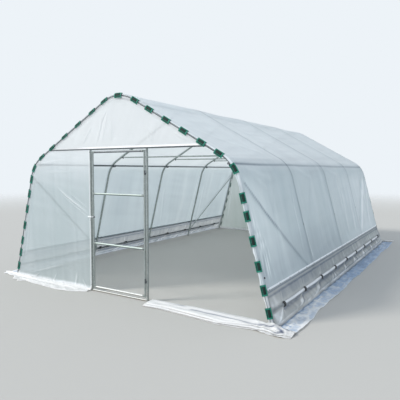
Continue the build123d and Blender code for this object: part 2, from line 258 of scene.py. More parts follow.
def bumped(tree, shader, height, strength, distance):
    """Relief on a shader."""
    bump = add(tree, "ShaderNodeBump", {"Height": height, "Strength": strength, "Distance": distance})
    tree.links.new(bump.outputs[0], shader.inputs["Normal"])


def zinc(name, dark, light, metallic=0.75, rough=(0.34, 0.55), scale=70.0, dust=0.10,
         underside_shade=None, shaded_below=0.0):
    """Galvanised steel between a dark and a light grey, with painted shade below a height."""
    material, tree, shader, _, place = new_material(name)
    spangle = use_group(tree, SPANGLE, Vector=place, Scale=scale)
    steel = mixed(tree, spangle["Shade"], colour(*dark), colour(*light))
    # Painted shade: the steel is darker below a height, for the shade on its underside.
    if underside_shade:
        underside_share = ranged(tree, part_of(tree, place, "Z"), shaded_below, shaded_below + 0.004, 0.85, 0.0)
        steel = mixed(tree, underside_share, steel, colour(*underside_shade))
    tree.links.new(soiled(tree, steel, place, dust, 0.7), shader.inputs["Base Color"])
    tree.links.new(ranged(tree, spangle["Shade"], 0.0, 1.0, rough[1], rough[0]),
                   shader.inputs["Roughness"])
    shader.inputs["Metallic"].default_value = metallic
    bumped(tree, shader, spangle["Height"], 0.25, 0.0006)
    return material


def plastic(name, main, worn, rough=0.42):
    """Moulded plastic, paler where it is scuffed."""
    material, tree, shader, _, place = new_material(name)
    scuffs = noise(tree, place, 30.0, detail=6.0, roughness=0.7)
    tree.links.new(mixed(tree, ranged(tree, scuffs, 0.42, 0.72), colour(*main), colour(*worn)),
                   shader.inputs["Base Color"])
    tree.links.new(ranged(tree, scuffs, 0.0, 1.0, rough - 0.08, rough + 0.16),
                   shader.inputs["Roughness"])
    bumped(tree, shader, noise(tree, place, 900.0), 0.15, 0.0003)
    return material


def film_material(name, clear, white, shade=(101, 121, 142), least=0.80, glow=0.40, crinkle=0.35,
                  scale=9.0, stretch=0.25, dust=0.0, pale_from=1.25, pale_to=1.80, pale=0.75, sky_tint=None):
    """Translucent film, white where it is folded or doubled and, on creases, partly by painted highlight;
    painted shade, by a whiteness below 0, where a tube touches it, where it is tucked in and on the dark
    side of creases. It is painted paler higher up for the brighter light there, and can take a painted
    bluish sky tint on the ground."""
    material, tree, shader, output, place = new_material(name)
    clear, white, shade = colour(*clear), colour(*white), colour(*shade)
    flat = add(tree, "ShaderNodeTexCoord").outputs["UV"]
    whiteness = add(tree, "ShaderNodeAttribute", attribute_name="whiteness").outputs["Fac"]
    crinkles = use_group(tree, CRINKLE, Vector=flat, Scale=scale, Stretch=stretch)
    # Painted light: paler above a height, for the brighter sky light on the roof and high on the ends.
    paler = ranged(tree, part_of(tree, place, "Z"), pale_from, pale_to, 0.0, pale)
    misty = maths(tree, "ADD", paler, times(tree, crinkles["Haze"], 0.25), clamp=True)
    hazy = mixed(tree, misty, clear, white)
    # Painted reflection and shade: a bluish sky tint where the film lies on the ground.
    if sky_tint:
        on_ground = ranged(tree, part_of(tree, flat, "Y"), LYING_START, LYING_FULL)
        hazy = mixed(tree, on_ground, hazy, colour(*sky_tint))
    shown = mixed(tree, ranged(tree, whiteness, 0.0, 1.0), hazy, white)
    shown = mixed(tree, ranged(tree, whiteness, -1.0, 0.0, 1.0, 0.0), shown, shade)
    if dust:
        shown = soiled(tree, shown, place, dust, 0.35)
    tree.links.new(shown, shader.inputs["Base Color"])
    shader.inputs["Roughness"].default_value = 0.30
    shader.inputs["IOR"].default_value = 1.45
    bumped(tree, shader, crinkles["Height"], crinkle, 0.012)
    through = add(tree, "ShaderNodeBsdfTranslucent", {"Color": shown})
    let_through = ranged(tree, whiteness, 0.0, 1.0, glow, 0.35 * glow)
    lit = add(tree, "ShaderNodeMixShader", {0: let_through, 1: shader.outputs[0], 2: through.outputs[0]})
    solid = ranged(tree, whiteness, 0.0, 1.0, least, 0.97)
    clear_part = add(tree, "ShaderNodeBsdfTransparent").outputs[0]
    seen = add(tree, "ShaderNodeMixShader", {0: solid, 1: clear_part, 2: lit.outputs[0]})
    tree.links.new(seen.outputs[0], output.inputs["Surface"])
    return material


# Steel finishes: one galvanised steel in lighter and darker copies that partly stand for light. Bar steel is
# darker for tubes seen in shade against the bright film; arch, stile and door rail steel are lighter partly
# for painted highlights, door foot and sill steel lighter still for their lit tops, and the near white rail
# steel partly for its lit face. Door rails, door foot, sill and side rails carry painted shade below a
# height, on their undersides.
ARCH_STEEL = zinc("arch steel", (140, 150, 148), (200, 208, 205), 0.50)
BAR_STEEL = zinc("bar steel", (92, 98, 102), (140, 146, 150), 0.60)
POST_STEEL = zinc("post steel", (122, 130, 129), (180, 187, 184), 0.45, (0.26, 0.40), 120.0, dust=0.16)
STILE_STEEL = zinc("stile steel", (132, 141, 139), (190, 197, 194), 0.50, (0.26, 0.40), 120.0)
LOWER_DOOR_STEEL, DOOR_STEEL = [
    zinc(name, (172, 186, 180), (206, 217, 211), 0.20, (0.40, 0.56), 90.0, underside_shade=(98, 112, 108),
         shaded_below=height - 0.002)
    for name, height in zip(("lower door steel", "door steel"), DOOR_RAILS_Z[1:3])]
DOOR_FOOT_STEEL, SILL_STEEL = [
    zinc(name, (196, 199, 196), (238, 239, 235), 0.15, (0.42, 0.58), 90.0, dust=0.04,
         underside_shade=(116, 112, 104), shaded_below=height)
    for name, height in (("door foot steel", 0.0525), ("sill steel", 0.0100))]
FITTING_STEEL = zinc("fitting steel", (70, 74, 78), (120, 124, 128), scale=150.0)
BOLT_STEEL = zinc("bolt steel", (120, 122, 124), (180, 182, 184), scale=300.0)
RAIL_STEEL = zinc("rail steel", (240, 245, 249), (252, 254, 255), 0.05, scale=45.0,
                  underside_shade=(112, 124, 130), shaded_below=0.3405)
LATCH_STEEL = zinc("latch steel", (236, 240, 242), (252, 253, 254), 0.05, scale=90.0)
CLIP_GREEN = plastic("clip green", (8, 112, 94), (40, 150, 126))
CLIP_RECESS = plastic("clip recess green", (0, 30, 26), (0, 44, 38), rough=0.70)
CLIP_BLACK = plastic("clip black", (15, 20, 24), (38, 45, 51))
KNOB_GREY = plastic("knob grey", (84, 90, 92), (116, 122, 124))

# Film colours: the gable's near white partly stands for its sunlit face, and the side curtain's darker grey
# partly for the shade on the right side, with a painted bluish sky tint where it lies on the ground.
COVER_FILM = film_material("cover film", (202, 216, 222), (246, 252, 255), least=0.89,
                           pale_from=1.52, pale_to=1.67, pale=0.78)
GABLE_FILM = film_material("gable film", (244, 246, 249), (254, 254, 254), glow=0.45, crinkle=0.30)
PANEL_FILM = film_material("front panel film", (199, 211, 212), (250, 252, 254), least=0.72,
                           dust=0.10, pale=0.88)
REAR_FILM = film_material("rear film", (180, 198, 190), (250, 252, 254), dust=0.10)
CURTAIN_FILM = film_material("side curtain film", (155, 163, 168), (252, 254, 255), (84, 102, 126),
                             crinkle=0.5, scale=14.0, dust=0.05, sky_tint=(187, 215, 248))
GROUND_FILM = film_material("ground film", (236, 237, 238), (255, 254, 252), (88, 104, 140),
                            least=0.92, crinkle=0.8, scale=16.0, stretch=0.7, dust=0.02)


# Floor, sky and light

def make_floor(size=30.0):
    """A pale floor that fades into the sky."""
    material, tree, shader, output, place = new_material("pale floor")
    shader.inputs["Base Color"].default_value = colour(188, 186, 181)
    shader.inputs["Roughness"].default_value = 0.9
    away = add(tree, "ShaderNodeVectorMath", {0: place}, operation="LENGTH").outputs["Value"]
    kept = ranged(tree, away, 9.0, 26.0, 1.0, 0.0, interpolation_type="SMOOTHSTEP")
    sky = add(tree, "ShaderNodeBsdfTransparent").outputs[0]
    faded = add(tree, "ShaderNodeMixShader", {0: kept, 1: sky, 2: shader.outputs[0]})
    tree.links.new(faded.outputs[0], output.inputs["Surface"])
    mesh = bpy.data.meshes.new("floor")
    mesh.from_pydata([(-size, -size, 0), (size, -size, 0), (size, size, 0), (-size, size, 0)],
                     [], [(0, 1, 2, 3)])
    mesh.materials.append(material)
    new_object("floor", mesh)


def make_light():
    """A pale sky that lights softly, and a soft sun from the front left."""
    world = bpy.data.worlds.new("sky")
    world.use_nodes = True
    tree = world.node_tree
    tree.nodes.clear()
    path = add(tree, "ShaderNodeLightPath").outputs
    seen = maths(tree, "MAXIMUM", path["Is Camera Ray"],
                 maths(tree, "MAXIMUM", path["Is Glossy Ray"], path["Is Transmission Ray"]))
    shown = add(tree, "ShaderNodeBackground", {"Color": colour(237, 243, 248), "Strength": 1.0})
    light = add(tree, "ShaderNodeBackground", {"Color": colour(226, 237, 250), "Strength": 0.90})
    both = add(tree, "ShaderNodeMixShader", {0: seen, 1: light.outputs[0], 2: shown.outputs[0]})
    add(tree, "ShaderNodeOutputWorld", {"Surface": both.outputs[0]})
    scene.world = world

    sun = bpy.data.lights.new("soft sun", "SUN")
    sun.energy = 2.35
    sun.color = (1.0, 0.97, 0.92)
    sun.angle = radians(14.0)
    lamp = new_object("soft sun", sun)
    lamp.rotation_euler = Vector((0.62, 0.60, -0.66)).to_track_quat("-Z", "Y").to_euler()


def new_object(name, data):
    """An object at the origin, with its place in its mesh."""
    piece = bpy.data.objects.new(name, data)
    scene.collection.objects.link(piece)
    return piece


make_floor()
make_light()


# Arch line

def arch_place(station, out):
    """x and z out from the arch line, at stations measured along it from the ridge to the right."""
    station, out = np.broadcast_arrays(np.asarray(station, float), np.asarray(out, float))
    side, along = np.sign(station) + (station == 0), np.abs(station)
    ridge = along < RIDGE_ARC
    rafter = ~ridge & (along < EAVE_START)
    eave = ~ridge & ~rafter & (along < LEG_START)
    turn = np.select([ridge, rafter, eave],
                     [pi / 2 - along / RIDGE_BEND, RAFTER_TURN,
                      RAFTER_TURN - (along - EAVE_START) / EAVE_BEND], LEAN)
    down = along - LEG_START
    x = np.select([ridge, rafter, eave],
                  [RIDGE_BEND * np.cos(turn), RAFTER_TOP[0] + (along - RIDGE_ARC) * cos(SLOPE),
                   EAVE_CENTRE[0] + EAVE_BEND * np.cos(turn)], LEG_TOP[0] + down * sin(LEAN))
    z = np.select([ridge, rafter, eave],
                  [RIDGE_CENTRE_Z + RIDGE_BEND * np.sin(turn),
                   RAFTER_TOP[1] - (along - RIDGE_ARC) * sin(SLOPE),
                   EAVE_CENTRE[1] + EAVE_BEND * np.sin(turn)], LEG_TOP[1] - down * cos(LEAN))
    return side * (x + out * np.cos(turn)), z + out * np.sin(turn)


def on_leg(height, side=1):
    """The station of a height on a leg."""
    return side * (LEG_START + (LEG_TOP[1] - height) / cos(LEAN))


def on_rafter(x):
    """The station of a place on a rafter."""
    return np.sign(x) * (RIDGE_ARC + (abs(x) - RAFTER_TOP[0]) / cos(SLOPE))


def leg_x(height, out):
    """How far out a leg is at a height, with an offset."""
    return FOOT_X - height * tan(LEAN) + out / cos(LEAN)


def bend_reach(radius, away):
    """How far a bend reaches across, at a distance from its centre along the other way."""
    return np.sqrt(np.clip(radius ** 2 - away ** 2, 0.0, None))


def half_width(height, out):
    """How far out the arch line is at heights, with an offset."""
    leg = leg_x(height, out)
    eave = EAVE_CENTRE[0] + bend_reach(EAVE_BEND + out, height - EAVE_CENTRE[1])
    rafter = (RIDGE_Z + out / cos(SLOPE) - height) / tan(SLOPE)
    leg_end = LEG_TOP[1] + out * sin(LEAN)
    rafter_start = RAFTER_FOOT[1] + out * sin(RAFTER_TURN)
    return np.where(height < leg_end, leg, np.where(height < rafter_start, eave, rafter))


def roof_height(x, out):
    """How high the arch line is at distances from the middle, with an offset."""
    x = np.abs(x)
    ridge = RIDGE_CENTRE_Z + bend_reach(RIDGE_BEND + out, x)
    rafter = RIDGE_Z + out / cos(SLOPE) - x * tan(SLOPE)
    eave = EAVE_CENTRE[1] + bend_reach(EAVE_BEND + out, x - EAVE_CENTRE[0])
    ridge_end = RAFTER_TOP[0] + out * cos(RAFTER_TURN)
    eave_start = RAFTER_FOOT[0] + out * cos(RAFTER_TURN)
    return np.where(x < ridge_end, ridge, np.where(x < eave_start, rafter, eave))


# Sheets of film

def soft_noise(u, v, seed):
    """Smooth noise from -1 to 1 over two directions, the same each time for a seed."""
    table = np.random.default_rng(seed).uniform(-1.0, 1.0, (128, 128))
    u, v = np.broadcast_arrays(np.asarray(u, float), np.asarray(v, float))
    column, row = np.floor(u).astype(int), np.floor(v).astype(int)
    a, b = u - column, v - row
    a, b = a * a * (3 - 2 * a), b * b * (3 - 2 * b)
    corner = [table[(column + i) % 128, (row + j) % 128] for i in (0, 1) for j in (0, 1)]
    low = corner[0] * (1 - a) + corner[2] * a
    high = corner[1] * (1 - a) + corner[3] * a
    return low * (1 - b) + high * b


def fade(value, start, end):
    """A smooth step from 0 at the start to 1 at the end."""
    share = np.clip((value - start) / (end - start), 0.0, 1.0)
    return share * share * (3 - 2 * share)


def hump(value, middle, width):
    """A smooth hump, 1 in the middle and near 0 beyond twice its width."""
    return np.exp(-((value - middle) / width) ** 2)


def near_line(u, v, start, end, width, taper, dark_side=0.0):
    """From 1 on a line to 0 away from it, faded at the line's ends, and below 0 on a dark side."""
    du, dv = end[0] - start[0], end[1] - start[1]
    run = hypot(du, dv)
    share = ((u - start[0]) * du + (v - start[1]) * dv) / run ** 2
    away = ((u - start[0]) * dv - (v - start[1]) * du) / run
    ends = np.clip(np.minimum(share, 1 - share) / taper, 0.0, 1.0)
    line = np.exp(-(away / width) ** 2) - dark_side * np.exp(-(away / width - 1.8) ** 2)
    return line * ends * ends * (3 - 2 * ends)


def creased(relief, white, u, v, creases, taper=0.3, tone_taper=0.3, dark_side=0.0, uneven=1.0):
    """A relief and its whiteness with creases, the whiteness partly painted highlight and, on a dark side,
    painted shade: both ends, width, height and whiteness of each.
    """
    for start, end, width, height, tone in creases:
        relief = relief + height * near_line(u, v, start, end, width, taper)
        white = white + tone * uneven * near_line(u, v, start, end, width, tone_taper, dark_side)
    return relief, white


def sheet_piece(name, x, y, z, flat_u, flat_v, whiteness, material, outward=None):
    """A sheet through a grid of points, with its faces turned to a direction, or else away from
    the tunnel's middle line."""
    shape = np.broadcast(x, y, z).shape
    points = np.stack(np.broadcast_arrays(x, y, z), axis=-1).reshape(-1, 3)
    index = np.arange(len(points)).reshape(shape)
    quads = np.stack([index[:-1, :-1], index[:-1, 1:], index[1:, 1:], index[1:, :-1]],
                     axis=-1).reshape(-1, 4)
    normals = np.cross(points[quads[:, 1]] - points[quads[:, 0]],
                       points[quads[:, 3]] - points[quads[:, 0]])
    if outward is None:
        outward = points[quads].mean(axis=1) * (1.0, 0.0, 1.0) - (0.0, 0.0, 0.6)
    if (normals * outward).sum() < 0:
        quads = quads[:, ::-1]
    mesh = bpy.data.meshes.new(name)
    mesh.from_pydata(points.tolist(), [], quads.tolist())
    mesh.polygons.foreach_set("use_smooth", [True] * len(quads))
    grade = mesh.attributes.new("whiteness", "FLOAT", "POINT")
    shown = np.clip(np.broadcast_to(whiteness, shape), -1.0, 1.0)
    grade.data.foreach_set("value", shown.astype(np.float32).ravel())
    flat = np.stack([np.broadcast_to(part, shape) for part in (flat_u, flat_v)], axis=-1).reshape(-1, 2)
    corners = np.zeros(len(mesh.loops), np.int32)
    mesh.loops.foreach_get("vertex_index", corners)
    mesh.uv_layers.new(name="flat").data.foreach_set("uv", flat[corners].astype(np.float32).ravel())
    mesh.materials.append(material)
    mesh.update()
    piece = new_object(name, mesh)
    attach(piece, "tunnel")
    return piece


FORWARDS, BACKWARDS, UPWARDS = (0.0, -1.0, 0.0), (0.0, 1.0, 0.0), (0.0, 0.0, 1.0)


# The film's free edge round both end arches

def lip_reach(station):
    """How far the film laps round an end tube, as a turn and a loose flap beyond it."""
    places = [-HALF_GIRTH, -LEG_START, -EAVE_START, -0.3, 0.0, 0.5, EAVE_START, LEG_START, HALF_GIRTH]
    lap = np.interp(station, places, [0.92, 0.90, 0.80, 0.75, 0.95, 1.00, 1.10, 1.50, 1.57])
    flap = np.interp(station, places, [0.0, 0.0, 0.0, 0.0, 0.0, 0.0, 0.002, 0.019, 0.024])
    lap = lap + 0.14 * soft_noise(station * 5.0, 3.0, 21) + 0.08 * soft_noise(station * 17, 8.0, 22)
    flap = flap * (1 + 0.35 * soft_noise(station * 7.0, 5.0, 25) + 0.2 * soft_noise(station * 23, 5.0, 26))
    return np.where(station > 0, np.minimum(lap, 1.57), lap), np.maximum(flap, 0.0005)


def lip_columns(station):
    """The film's columns round an end tube, from its run to its free edge: how far outward, how
    far forward, and how white."""
    lap, flap = lip_reach(station)
    columns = []
    gape = 0.0014 * soft_noise(station * 9.0, 1.0, 23) ** 2
    for share in (0.14, 0.28, 0.42, 0.56, 0.70, 0.84, 1.0):
        radius = FILM_OUT + gape * share
        streak = 0.80 * soft_noise(station * 2.2, share * 9.0, 27)
        columns.append((radius * np.cos(lap * share), radius * np.sin(lap * share), streak))
    radius = FILM_OUT + gape
    for share in (0.25, 0.5, 0.75, 1.0):
        curl = 0.0035 * np.clip(soft_noise(station * 11.0, share, 28), 0, 1) * share
        streak = 0.80 * soft_noise(station * 2.2, 9.0 + share * 5.0, 27)
        columns.append((radius * np.cos(lap) - flap * share * np.sin(lap),
                        radius * np.sin(lap) + flap * share * np.cos(lap) + curl * (flap > 0.004),
                        streak))
    return [np.hstack(part) for part in zip(*columns)]


def lapped(run, lip):
    """A run of values with the lip's on both ends, outermost first."""
    return np.hstack([lip[:, ::-1], run, lip])


# The cover

def wall_creases(side, marks):
    """Creases of one wall, each by the height and y of both ends, width, height and whiteness."""
    return [((on_leg(top, side), top_y), (on_leg(foot, side), foot_y), width, height, tone)
            for top, top_y, foot, foot_y, width, height, tone in marks]


COVER_CREASES = wall_creases(1, (
    (1.40, 2.82, 0.36, 1.56, 0.066, 0.012, 1.00), (1.30, 2.95, 0.40, 2.40, 0.045, 0.006, 0.40),
    (1.25, 1.28, 0.40, 1.15, 0.045, 0.005, 0.35), (1.20, 0.85, 0.45, 0.70, 0.045, 0.005, 0.30),
    (1.32, -2.925, 0.38, -2.845, 0.009, 0.005, 0.95), (1.28, -2.955, 0.38, -2.900, 0.007, -0.003, -0.45),
    (1.02, -2.855, 0.38, -2.790, 0.008, 0.004, 0.80), (0.90, -2.770, 0.38, -2.700, 0.010, 0.003, 0.35),
    (0.95, -1.46, 0.38, -1.44, 0.014, 0.004, 0.70), (1.30, -1.62, 0.50, -1.70, 0.012, 0.004, 0.35),
    (1.00, 0.07, 0.38, 0.09, 0.016, 0.004, 0.55), (1.20, -0.12, 0.50, -0.16, 0.012, 0.004, 0.30),
    (1.56, -2.80, 1.42, -2.15, 0.024, 0.005, 0.14), (1.50, -2.70, 1.30, -2.30, 0.024, 0.004, 0.10),
    (1.56, -1.28, 1.42, -0.70, 0.026, 0.005, 0.14), (1.56, 0.20, 1.42, 0.80, 0.030, 0.005, 0.14),
    (1.20, 0.13, 0.45, 0.15, 0.014, 0.005, 0.30), (1.25, 1.38, 0.45, 1.34, 0.014, 0.005, 0.28),
    (1.30, 1.66, 0.50, 1.70, 0.016, 0.005, 0.25))) + wall_creases(-1, (
        (1.20, -2.90, 0.40, -2.88, 0.010, 0.004, 0.40), (1.20, 0.20, 0.45, 0.26, 0.016, 0.005, 0.30),
        (1.20, 1.75, 0.45, 1.70, 0.016, 0.005, 0.28)))
COVER_CREASES += [((0.9, -2.75), (1.5, -1.65), 0.030, 0.003, 0.10),
                  ((0.5, -1.30), (1.3, -0.20), 0.030, 0.003, 0.08),
                  ((-0.6, -2.70), (-1.4, -1.70), 0.030, 0.003, 0.08)]


def cover_relief(station, y):
    """How far the cover bulges or sags from its tight line, and its whiteness, with painted light and shade
    on its creases, walls and roof and along the tubes behind it.
    """
    slack = np.abs(np.sin((y - FRONT_Y) * pi / BAY))
    soft = slack ** 0.7
    along = np.abs(station)
    roof = 1 - fade(along, EAVE_START - 0.1, LEG_START)
    wall = fade(along, EAVE_START + 0.1, LEG_START + 0.15)
    rail = fade(HALF_GIRTH - along - RAIL_Z / cos(LEAN), 0.01, 0.16)
    side = np.where(station < 0, 40.0, 0.0)
    sag = -0.018 * roof * fade(along, 0.05, 0.40) - 0.002 * roof - 0.016 * wall
    swell = 0.006 * soft_noise(station * 1.6 + side, y * 1.3, 11)
    drapes = soft_noise(station * 0.9 + side, y * 7.5 + 0.4 * soft_noise(station * 2, y, 5), 12)
    wall_folds = 0.0065 * np.sign(drapes) * np.abs(drapes) ** 1.5 * wall
    pulls = soft_noise(station * 0.8 + side, y * 14.0 + 1.2 * np.sin(station * 1.3), 13)
    near_arch = (1 - fade(slack, 0.15, 0.75)) * fade(slack, 0.0, 0.12)
    arch_folds = 0.0035 * pulls * near_arch * (0.5 + 0.5 * wall)
    cross = soft_noise(station * 3.2 + y * 1.7 + side, y * 1.1 - station * 0.5, 14)
    relief = soft * (sag + swell + wall_folds + 0.0040 * cross * roof) + arch_folds

    right = station > 0
    white = 0.16 * np.abs(drapes) ** 2 * wall * soft + 0.22 * np.abs(pulls) ** 2 * near_arch
    # The right wall is lighter towards the rear, and the left wall, which the sun lights through, is
    # darkened with painted shade.
    white = white + wall * np.where(right, 0.40 * fade(y, -0.8, 2.4), -0.10)
    # Painted shade on the right roof, deepest at the eave.
    by_eave = hump(station, EAVE_START - 0.05, 0.22)
    white = white - (0.045 * (1 - wall) + 0.05 * by_eave) * right
    low = fade(along - LEG_START, 0.45, 1.15) * right
    white = white - 0.38 * low * (1 - fade(y, -1.2, 2.0))
    fine = soft_noise(station * 1.4 + side, y * 26.0 + 2.0 * np.sin(station * 2.1), 15)
    fine = fine * (0.4 + 0.6 * wall) * np.where(station < 0, 0.6, 1.0)
    smears = soft_noise(station * 15.0 + y * 1.5 + side, y * 1.8, 16)
    # Painted shade along the tubes behind the film.
    white = white + (0.045 * fine + 0.045 * smears) * soft - painted_tube_shade(station, y)
    bent = y + 0.030 * soft_noise(station * 2.6, y * 1.2, 19)
    uneven = 0.75 + 0.35 * soft_noise(station * 4.0, y * 1.5, 18)
    # Creases, with their whiteness partly painted highlight and painted shade on a dark side.
    relief, white = creased(relief, white, station, bent, COVER_CREASES, 0.15, 0.15, 0.35, uneven)
    return relief * rail, white


def painted_tube_shade(station, y):
    """The painted shade of the soft grey line that a tube behind the film gives it, for the tube's shadow
    and its dim form through the film.
    """
    along = np.abs(station)
    nearest = np.abs((y - FRONT_Y + BAY / 2) % BAY - BAY / 2)
    inner = (np.abs(y) < REAR_Y - BAY / 2).astype(float)
    lower = 1 - fade(along, LEG_START + 0.35, LEG_START + 1.0)
    arches = 0.48 * hump(nearest, 0.0, 0.019) * inner * (0.18 + 0.82 * lower)
    purlin = hump(along, EAVE_START + 0.145, 0.0135) * (0.58 + 0.52 * (1 - fade(y, -2.7, -1.3)))
    ridge = 0.30 * hump(along, 0.0, 0.035)
    brace = 0.0
    for foot, top, depth in ((-BAY, FRONT_Y + 0.03, 1.05), (BAY, REAR_Y - 0.03, 0.45)):
        line = near_line(along, y, (on_leg(BRACE_TOP_Z), top), (on_leg(BRACE_FOOT_Z), foot), 0.015, 0.03)
        brace = brace + depth * line * (0.35 + 0.65 * fade(LEG_START + 1.27 - along, 0.0, 1.0))
    return (arches + purlin + ridge + brace) * (0.80 + 0.20 * soft_noise(station * 3.0, y * 2.0, 17))


def make_cover():
    """The one sheet from rail to rail over all five arches, lapped round both end tubes."""
    reach = HALF_GIRTH - (RAIL_Z - 0.008) / cos(LEAN)
    station = np.linspace(-reach, reach, 281)[:, None]
    run = np.linspace(FRONT_Y, REAR_Y, 241)[None, :]
    relief, white = cover_relief(station, run)
    edge = np.minimum(run - FRONT_Y, REAR_Y - run)
    out = FILM_OUT + relief * fade(edge, 0.0, 0.08)
    white = white + (1 - fade(edge, 0.0, 0.045)) * np.where(run < 0, 0.45, -0.55)
    lip_out, lip_forward, streak = lip_columns(station)
    lip_white = 0.60 + 0.30 * soft_noise(station * 12.0, 2.0, 24) + streak
    y = np.hstack([FRONT_Y - lip_forward[:, ::-1], run + 0 * station, REAR_Y + lip_forward])
    x, z = arch_place(station, lapped(out, lip_out))
    white = lapped(white, lip_white)
    piece = sheet_piece("cover_film_sheet", x, y, z, y, station, white, COVER_FILM)
    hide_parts("left_wall_film", "left_eave_film", "left_roof_film", "ridge_film",
                "right_roof_film", "right_eave_film", "right_wall_film")


# The side curtains: a row of points for each place between the rail and the free edge, in four
# parts, above the tube, round it, down to the foot and on the ground

CURTAIN_ROWS = (32, 20, 22, 26)
ROW = np.arange(sum(CURTAIN_ROWS))[:, None]
ROW_RUN = 0.0058


def resampled(line, count):
    """A line's points spaced evenly along it."""
    line = np.array(line)
    runs = np.concatenate([[0.0], np.cumsum(np.hypot(*np.diff(line, axis=0).T))])
    wanted = np.linspace(0.0, runs[-1], count)
    return np.interp(wanted, runs, line[:, 0]), np.interp(wanted, runs, line[:, 1])


def curtain_line(kind):
    """A side curtain's line from the rail to its free edge: rolled round its tube, hung flat over
    it, or drawn close to an end leg."""
    foot = [(GROUND_FLARE_X - 0.006, 0.060), (GROUND_FLARE_X - 0.002, 0.030)]
    ground = [(GROUND_FLARE_X + 0.004, 0.012), (GROUND_FLARE_X + 0.016, 0.005),
              (GROUND_FLARE_X + 0.040, 0.004), (GROUND_SIDE_X, 0.004)]
    if kind == "rolled":
        upper = [(0.0178, 0.356), (0.0178, 0.330), (0.0170, 0.318), (0.021, 0.290),
                 (0.026, 0.240), (0.029, 0.205), (0.0335, 0.180)]
        tube = [(LOWER_TUBE_OUT + 0.0205 * cos(radians(turn)),
                 LOWER_TUBE_Z + 0.0205 * sin(radians(turn))) for turn in range(80, -120, -18)]
        lower = [(0.0225, 0.124), (0.0235, 0.095)]
    elif kind == "hung":
        upper = [(0.0178, 0.356), (0.0178, 0.330), (0.0170, 0.318), (0.024, 0.290),
                 (0.031, 0.240), (0.038, 0.200), (0.0415, 0.178)]
        tube = [(0.0425, 0.170), (0.0430, 0.150), (0.0425, 0.134)]
        lower = [(0.0425, 0.128), (0.0440, 0.100)]
    else:
        upper, tube = [(0.0178, 0.356), (0.0178, 0.180)], [(0.0178, 0.176), (0.0178, 0.126)]
        lower = [(0.0178, 0.122), (0.0178, 0.060)]
        foot = [(FOOT_X + 0.0135, 0.026)]
        ground = [(FOOT_X + 0.017, 0.010), (FOOT_X + 0.030, 0.004), (GROUND_SIDE_X, 0.004)]
    stretches = [[(leg_x(z, out), z) for out, z in part] for part in (upper, tube, lower)] + [ground]
    stretches[2] += foot
    parts = [resampled(part, count) for part, count in zip(stretches, CURTAIN_ROWS)]
    return [np.concatenate([part[axis] for part in parts])[:, None] for axis in (0, 1)]


def curtain_pleats(y, z, seed):
    """Pleats that lean forward from each tube clip to the foot, and some that rise to the rail."""
    pleats = np.zeros(np.broadcast(y, z).shape)
    draws = np.random.default_rng(seed)
    for clip_y in TUBE_CLIP_Y:
        for _ in range(5):
            spread, low, width = draws.uniform((-0.54, 0.0, 0.010), (-0.18, 0.03, 0.015))
            top = clip_y + draws.uniform(-0.045, 0.010)
            tone = draws.choice((0.9, 0.7, 0.5, -0.6))
            pleats += tone * near_line(y, z, (clip_y + spread, low - 0.03), (top, 0.145), width, 0.22, 0.4)
            rise = clip_y + draws.uniform(-0.08, 0.12)
            pleats += 0.5 * tone * near_line(y, z, (top, 0.160), (rise, 0.33 - low), width, 0.25, 0.4)
    return np.clip(pleats, -1.0, 1.0)


def curtain_upright(x, y, z, nearest, close, seed):
    """The relief and whiteness of a curtain down to its foot, with painted light and shade on the roll,
    below the rail, on the pleats and at the foot.
    """
    between = ((y > TUBE_CLIP_Y[0]) & (y < TUBE_CLIP_Y[-1])).astype(float)
    above = fade(ROW, 8, 14) * (1 - fade(ROW, 26, 32)) * (1 - close)
    tube_band = fade(ROW, 32, 35) * (1 - fade(ROW, 48, 51))
    below = fade(ROW, 50, 55) * (1 - fade(ROW, 70, 74)) * (1 - close)

    slack = 0.007 * soft_noise(y * 1.5, z * 4, seed + 1) + 0.0045 * soft_noise(y * 11, z * 3, seed + 2)
    x = x + np.maximum(0.004 + slack, -0.001) * above
    plump = (0.0090 * np.sin(np.clip(nearest / 0.3375, 0, 1) * pi / 2)
             + 0.0014 * soft_noise(y * 9, z * 60, seed + 3))
    x = x + (plump - 0.0050 * hump(nearest, 0.0, 0.035)) * tube_band * between
    pleats = curtain_pleats(y, z, seed + 5)
    x = x + 0.0016 * pleats * np.maximum(below, 0.8 * above)
    x = x + 0.0040 * soft_noise(y * 13, z * 9, seed + 6) * below

    # Painted light and shade: the roll lit on its top and shaded on its lower half, with a painted shadow
    # under it.
    lit = 1.00 + 0.20 * soft_noise(y * 7, z * 50, seed + 4) - 1.25 * fade(ROW, 38, 43)
    white = lit * tube_band * between - 0.95 * hump(ROW, 56, 4.2) * between
    strands = soft_noise(y * 18 + z * 4, z * 5, seed + 12)
    # The pleats' light and dark lines are partly painted highlight and shade.
    white = white + (0.62 * pleats + 0.22 * strands) * (below + 0.8 * above)
    white = white + 0.40 * (1 - fade(y, -2.96, -2.70)) * (above + below) * (1 + strands)
    # A painted highlight along the foot, where the film bends onto the ground, and painted shade in the
    # strip below the rail, deepest at the front.
    foot = 0.35 + 0.42 * fade(y, -2.4, -0.4) + 0.65 * soft_noise(y * 9.0, 5.5, seed + 15)
    white = white - 0.22 * above * (1 - fade(ROW, 12, 32)) + foot * hump(ROW, 73, 1.1)
    white = white - 0.26 * above * (1 - fade(ROW, 22, 34)) * (1 - fade(y, -2.3, -0.6))
    white = white + 0.24 * (above + below) * fade(y, -0.8, 2.0)
    # Painted shadow lines under the rail.
    for place, depth in ((6.0, -0.85), (9.0, -0.10), (12.0, -0.80)):
        white = white + depth * hump(ROW, place, 1.6) * (1 - close)
    return x, white


